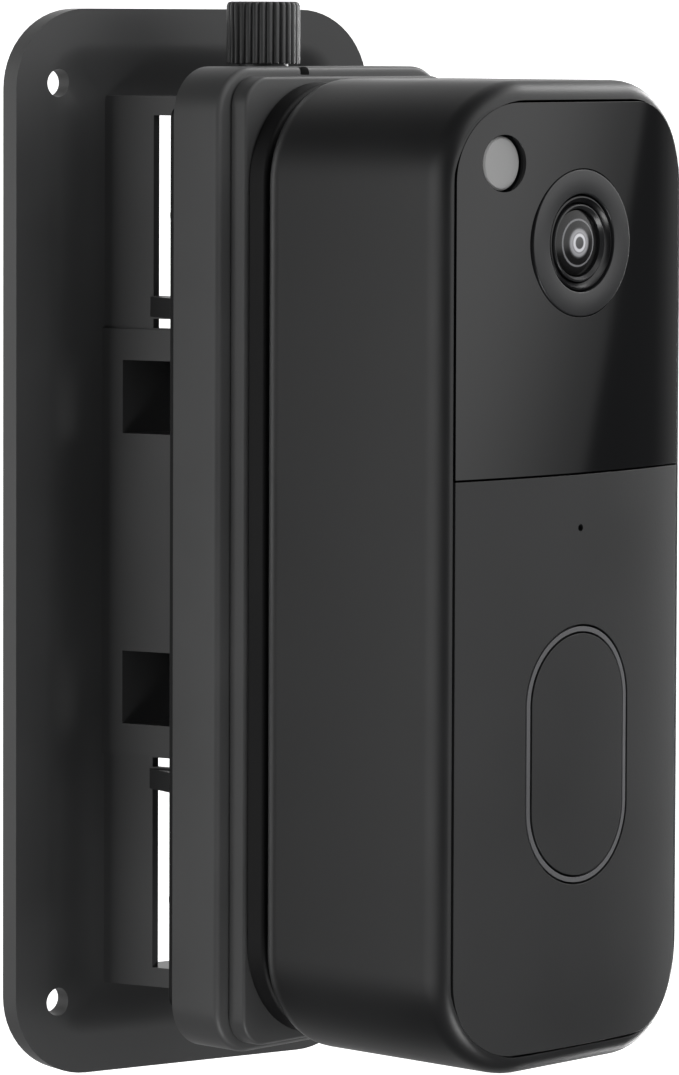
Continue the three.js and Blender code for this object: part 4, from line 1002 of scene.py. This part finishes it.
wall_base()
washers()
thumb_knob()
hinge_bolt()
hinge_nut()
swivel_yoke()
swivel_tray()
for corner_name in four_corners(1, 1):
    pan_screw(f"yoke_screw_{corner_name}", "head")
    pan_screw(f"adapter_screw_{corner_name}", "head")
adapter_plate()
bell_bracket()
latch_spring()
pan_screw("bracket_screw_upper", "head")
pan_screw("bracket_screw_lower", "head")
rear_shell()
rear_cover()
for screw_name in CASE_SCREWS:
    pan_screw(screw_name, "doorbell")
for screw_name in TERMINALS:
    pan_screw(screw_name, "doorbell", "brass")
front_cover()
glass_panel()
button_cap()
button_light_ring()
lens()
motion_sensor_window()

# ---------------------------------------------------------------- floor, light and camera

FLOOR_BELOW = 0.32
BACKDROP_RADIUS = 60.0

# The soft box lies above a slanted edge, which the glass mirrors as a slanted line between light and dark.
# edge is the direction square to the plane through that edge and the object.
SOFT_BOX = {"edge": (-0.0338, -0.2573, 0.9657), "azimuth": 45, "height": 0.25, "strength": 1.3}


def seen_only(stage_piece):
    """The camera sees it, and it neither lights the object nor shows in its gloss."""
    stage_piece.visible_diffuse = False
    stage_piece.visible_glossy = False
    stage_piece.visible_shadow = False


def glowing(name, color, strength):
    material = bpy.data.materials.new(name)
    material.use_nodes = True
    principled = material.node_tree.nodes["Principled BSDF"]
    principled.inputs["Base Color"].default_value = (*color, 1)
    principled.inputs["Roughness"].default_value = 0.9
    principled.inputs["Emission Color"].default_value = (*color, 1)
    principled.inputs["Emission Strength"].default_value = strength
    return material


def surroundings():
    bpy.ops.mesh.primitive_plane_add(size=2 * BACKDROP_RADIUS, location=(0, 0, -FLOOR_BELOW))
    floor = bpy.context.object
    floor.name = "floor"
    floor.data.materials.append(glowing("floor", (0.95, 0.95, 0.95), 0.9))
    seen_only(floor)
    bpy.ops.mesh.primitive_uv_sphere_add(radius=BACKDROP_RADIUS, segments=48, ring_count=24)
    backdrop = bpy.context.object
    backdrop.name = "backdrop"
    backdrop.data.shade_smooth()
    backdrop.data.materials.append(glowing("backdrop", (1, 1, 1), 1.0))
    seen_only(backdrop)


# Each area light: its place and the point it faces, its size in metres, and its power in watts.
LIGHTS = {
    "left": {"place": (-1.089, 0.153, 0), "target": (0, -0.05, 0), "size": (0.6, 1.0), "watts": 3.6},
    "top": {"place": (-0.1, -0.7, 1.0), "target": (0, -0.05, 0), "size": (0.6, 0.5), "watts": 1.0},
    "low": {"place": (-0.12, -0.4, -0.42), "target": (0, -0.03, -0.06), "size": (0.25, 0.2), "watts": 1.4},
    "upper_right": {"place": (0.85, 0.1, 0.8), "target": (0, -0.05, 0), "size": (0.5, 0.5), "watts": 4},
    "right": {"place": (1.0, 0.45, -0.1), "target": (0, -0.05, 0), "size": (0.3, 1.4), "watts": 12},
}


def area_light(name, setup):
    data = bpy.data.lights.new(name, "AREA")
    data.shape = "RECTANGLE"
    data.size, data.size_y = setup["size"]
    data.energy = setup["watts"]
    light = bpy.data.objects.new(name, data)
    bpy.context.scene.collection.objects.link(light)
    light.location = setup["place"]
    facing = Vector(setup["target"]) - Vector(setup["place"])
    light.rotation_euler = facing.to_track_quat("-Z", "Y").to_euler()
    light.visible_camera = False


def direction(azimuth, height=0.0):
    """A direction by its azimuth in degrees, from the wall's front towards the right, and its rise."""
    angle = math.radians(azimuth)
    return Vector((math.sin(angle), -math.cos(angle), height)).normalized()


def world_light():
    """White surroundings behind the object, dark ones in front, with a soft box ahead and to the right.

    Each glow goes smoothly from its low to its high strength, as the cosine of the angle to its direction
    goes from start to end.
    """
    world = bpy.data.worlds.new("studio")
    bpy.context.scene.world = world
    world.use_nodes = True
    nodes, links = world.node_tree.nodes, world.node_tree.links
    background = nodes["Background"]
    coordinates = nodes.new("ShaderNodeTexCoord")

    def glow(towards, start, end, low, high):
        dot = nodes.new("ShaderNodeVectorMath")
        dot.operation = "DOT_PRODUCT"
        dot.inputs[1].default_value = Vector(towards).normalized()
        links.new(coordinates.outputs["Generated"], dot.inputs[0])
        mapped = nodes.new("ShaderNodeMapRange")
        mapped.interpolation_type = "SMOOTHSTEP"
        mapped.inputs["From Min"].default_value = start
        mapped.inputs["From Max"].default_value = end
        mapped.inputs["To Min"].default_value = low
        mapped.inputs["To Max"].default_value = high
        links.new(dot.outputs["Value"], mapped.inputs["Value"])
        return mapped.outputs["Result"]

    def combined(operation, a, b):
        node = nodes.new("ShaderNodeMath")
        node.operation = operation
        links.new(a, node.inputs[0])
        links.new(b, node.inputs[1])
        return node.outputs["Value"]

    upwards = (0.0, 0.0, 1.0)
    behind = glow(direction(150), 0.35, 0.75, 0.08, 2.2)
    from_below = glow(upwards, -0.5, -0.02, 0.2, 1.0)
    overhead = glow(upwards, 0.08, 0.45, 1.0, 0.25)
    surrounding = combined("MULTIPLY", behind, combined("MULTIPLY", from_below, overhead))
    box_edge = glow(SOFT_BOX["edge"], 0.0, 0.012, 0.0, 0.25)
    box_fill = glow(SOFT_BOX["edge"], 0.0, 0.14, 0.0, 0.9)
    towards_box = direction(SOFT_BOX["azimuth"], SOFT_BOX["height"])
    box_reach = glow(towards_box, 0.35, 0.8, 0.0, SOFT_BOX["strength"])
    box = combined("MULTIPLY", combined("ADD", box_edge, box_fill), box_reach)
    links.new(combined("ADD", surrounding, box), background.inputs["Strength"])
    background.inputs["Color"].default_value = (1, 1, 1, 1)


CAMERA = {
    "place": (-0.45439, -0.75765, 0.07755),
    "yaw": 32.518,
    "pitch": 3.233,
    "roll": 0.209,
    "lens": 195.0,
    "shift_up": -0.17,
}


def camera():
    data = bpy.data.cameras.new("camera")
    data.lens = CAMERA["lens"]
    data.sensor_width = 36
    data.shift_y = CAMERA["shift_up"]
    data.clip_start, data.clip_end = 0.01, 200
    made_camera = bpy.data.objects.new("camera", data)
    bpy.context.scene.collection.objects.link(made_camera)
    yaw, pitch, roll = (math.radians(CAMERA[key]) for key in ("yaw", "pitch", "roll"))
    forward = Vector((math.sin(yaw) * math.cos(pitch), math.cos(yaw) * math.cos(pitch), -math.sin(pitch)))
    level = Vector((math.cos(yaw), -math.sin(yaw), 0))
    up = level.cross(forward)
    right = math.cos(roll) * level + math.sin(roll) * up
    up = right.cross(forward)
    turn = Matrix((right, up, -forward)).transposed()
    made_camera.matrix_world = Matrix.Translation(CAMERA["place"]) @ turn.to_4x4()
    bpy.context.scene.camera = made_camera


bpy.context.scene.view_settings.view_transform = "Standard"
surroundings()
world_light()
for light_name, light_setup in LIGHTS.items():
    area_light(light_name, light_setup)
camera()
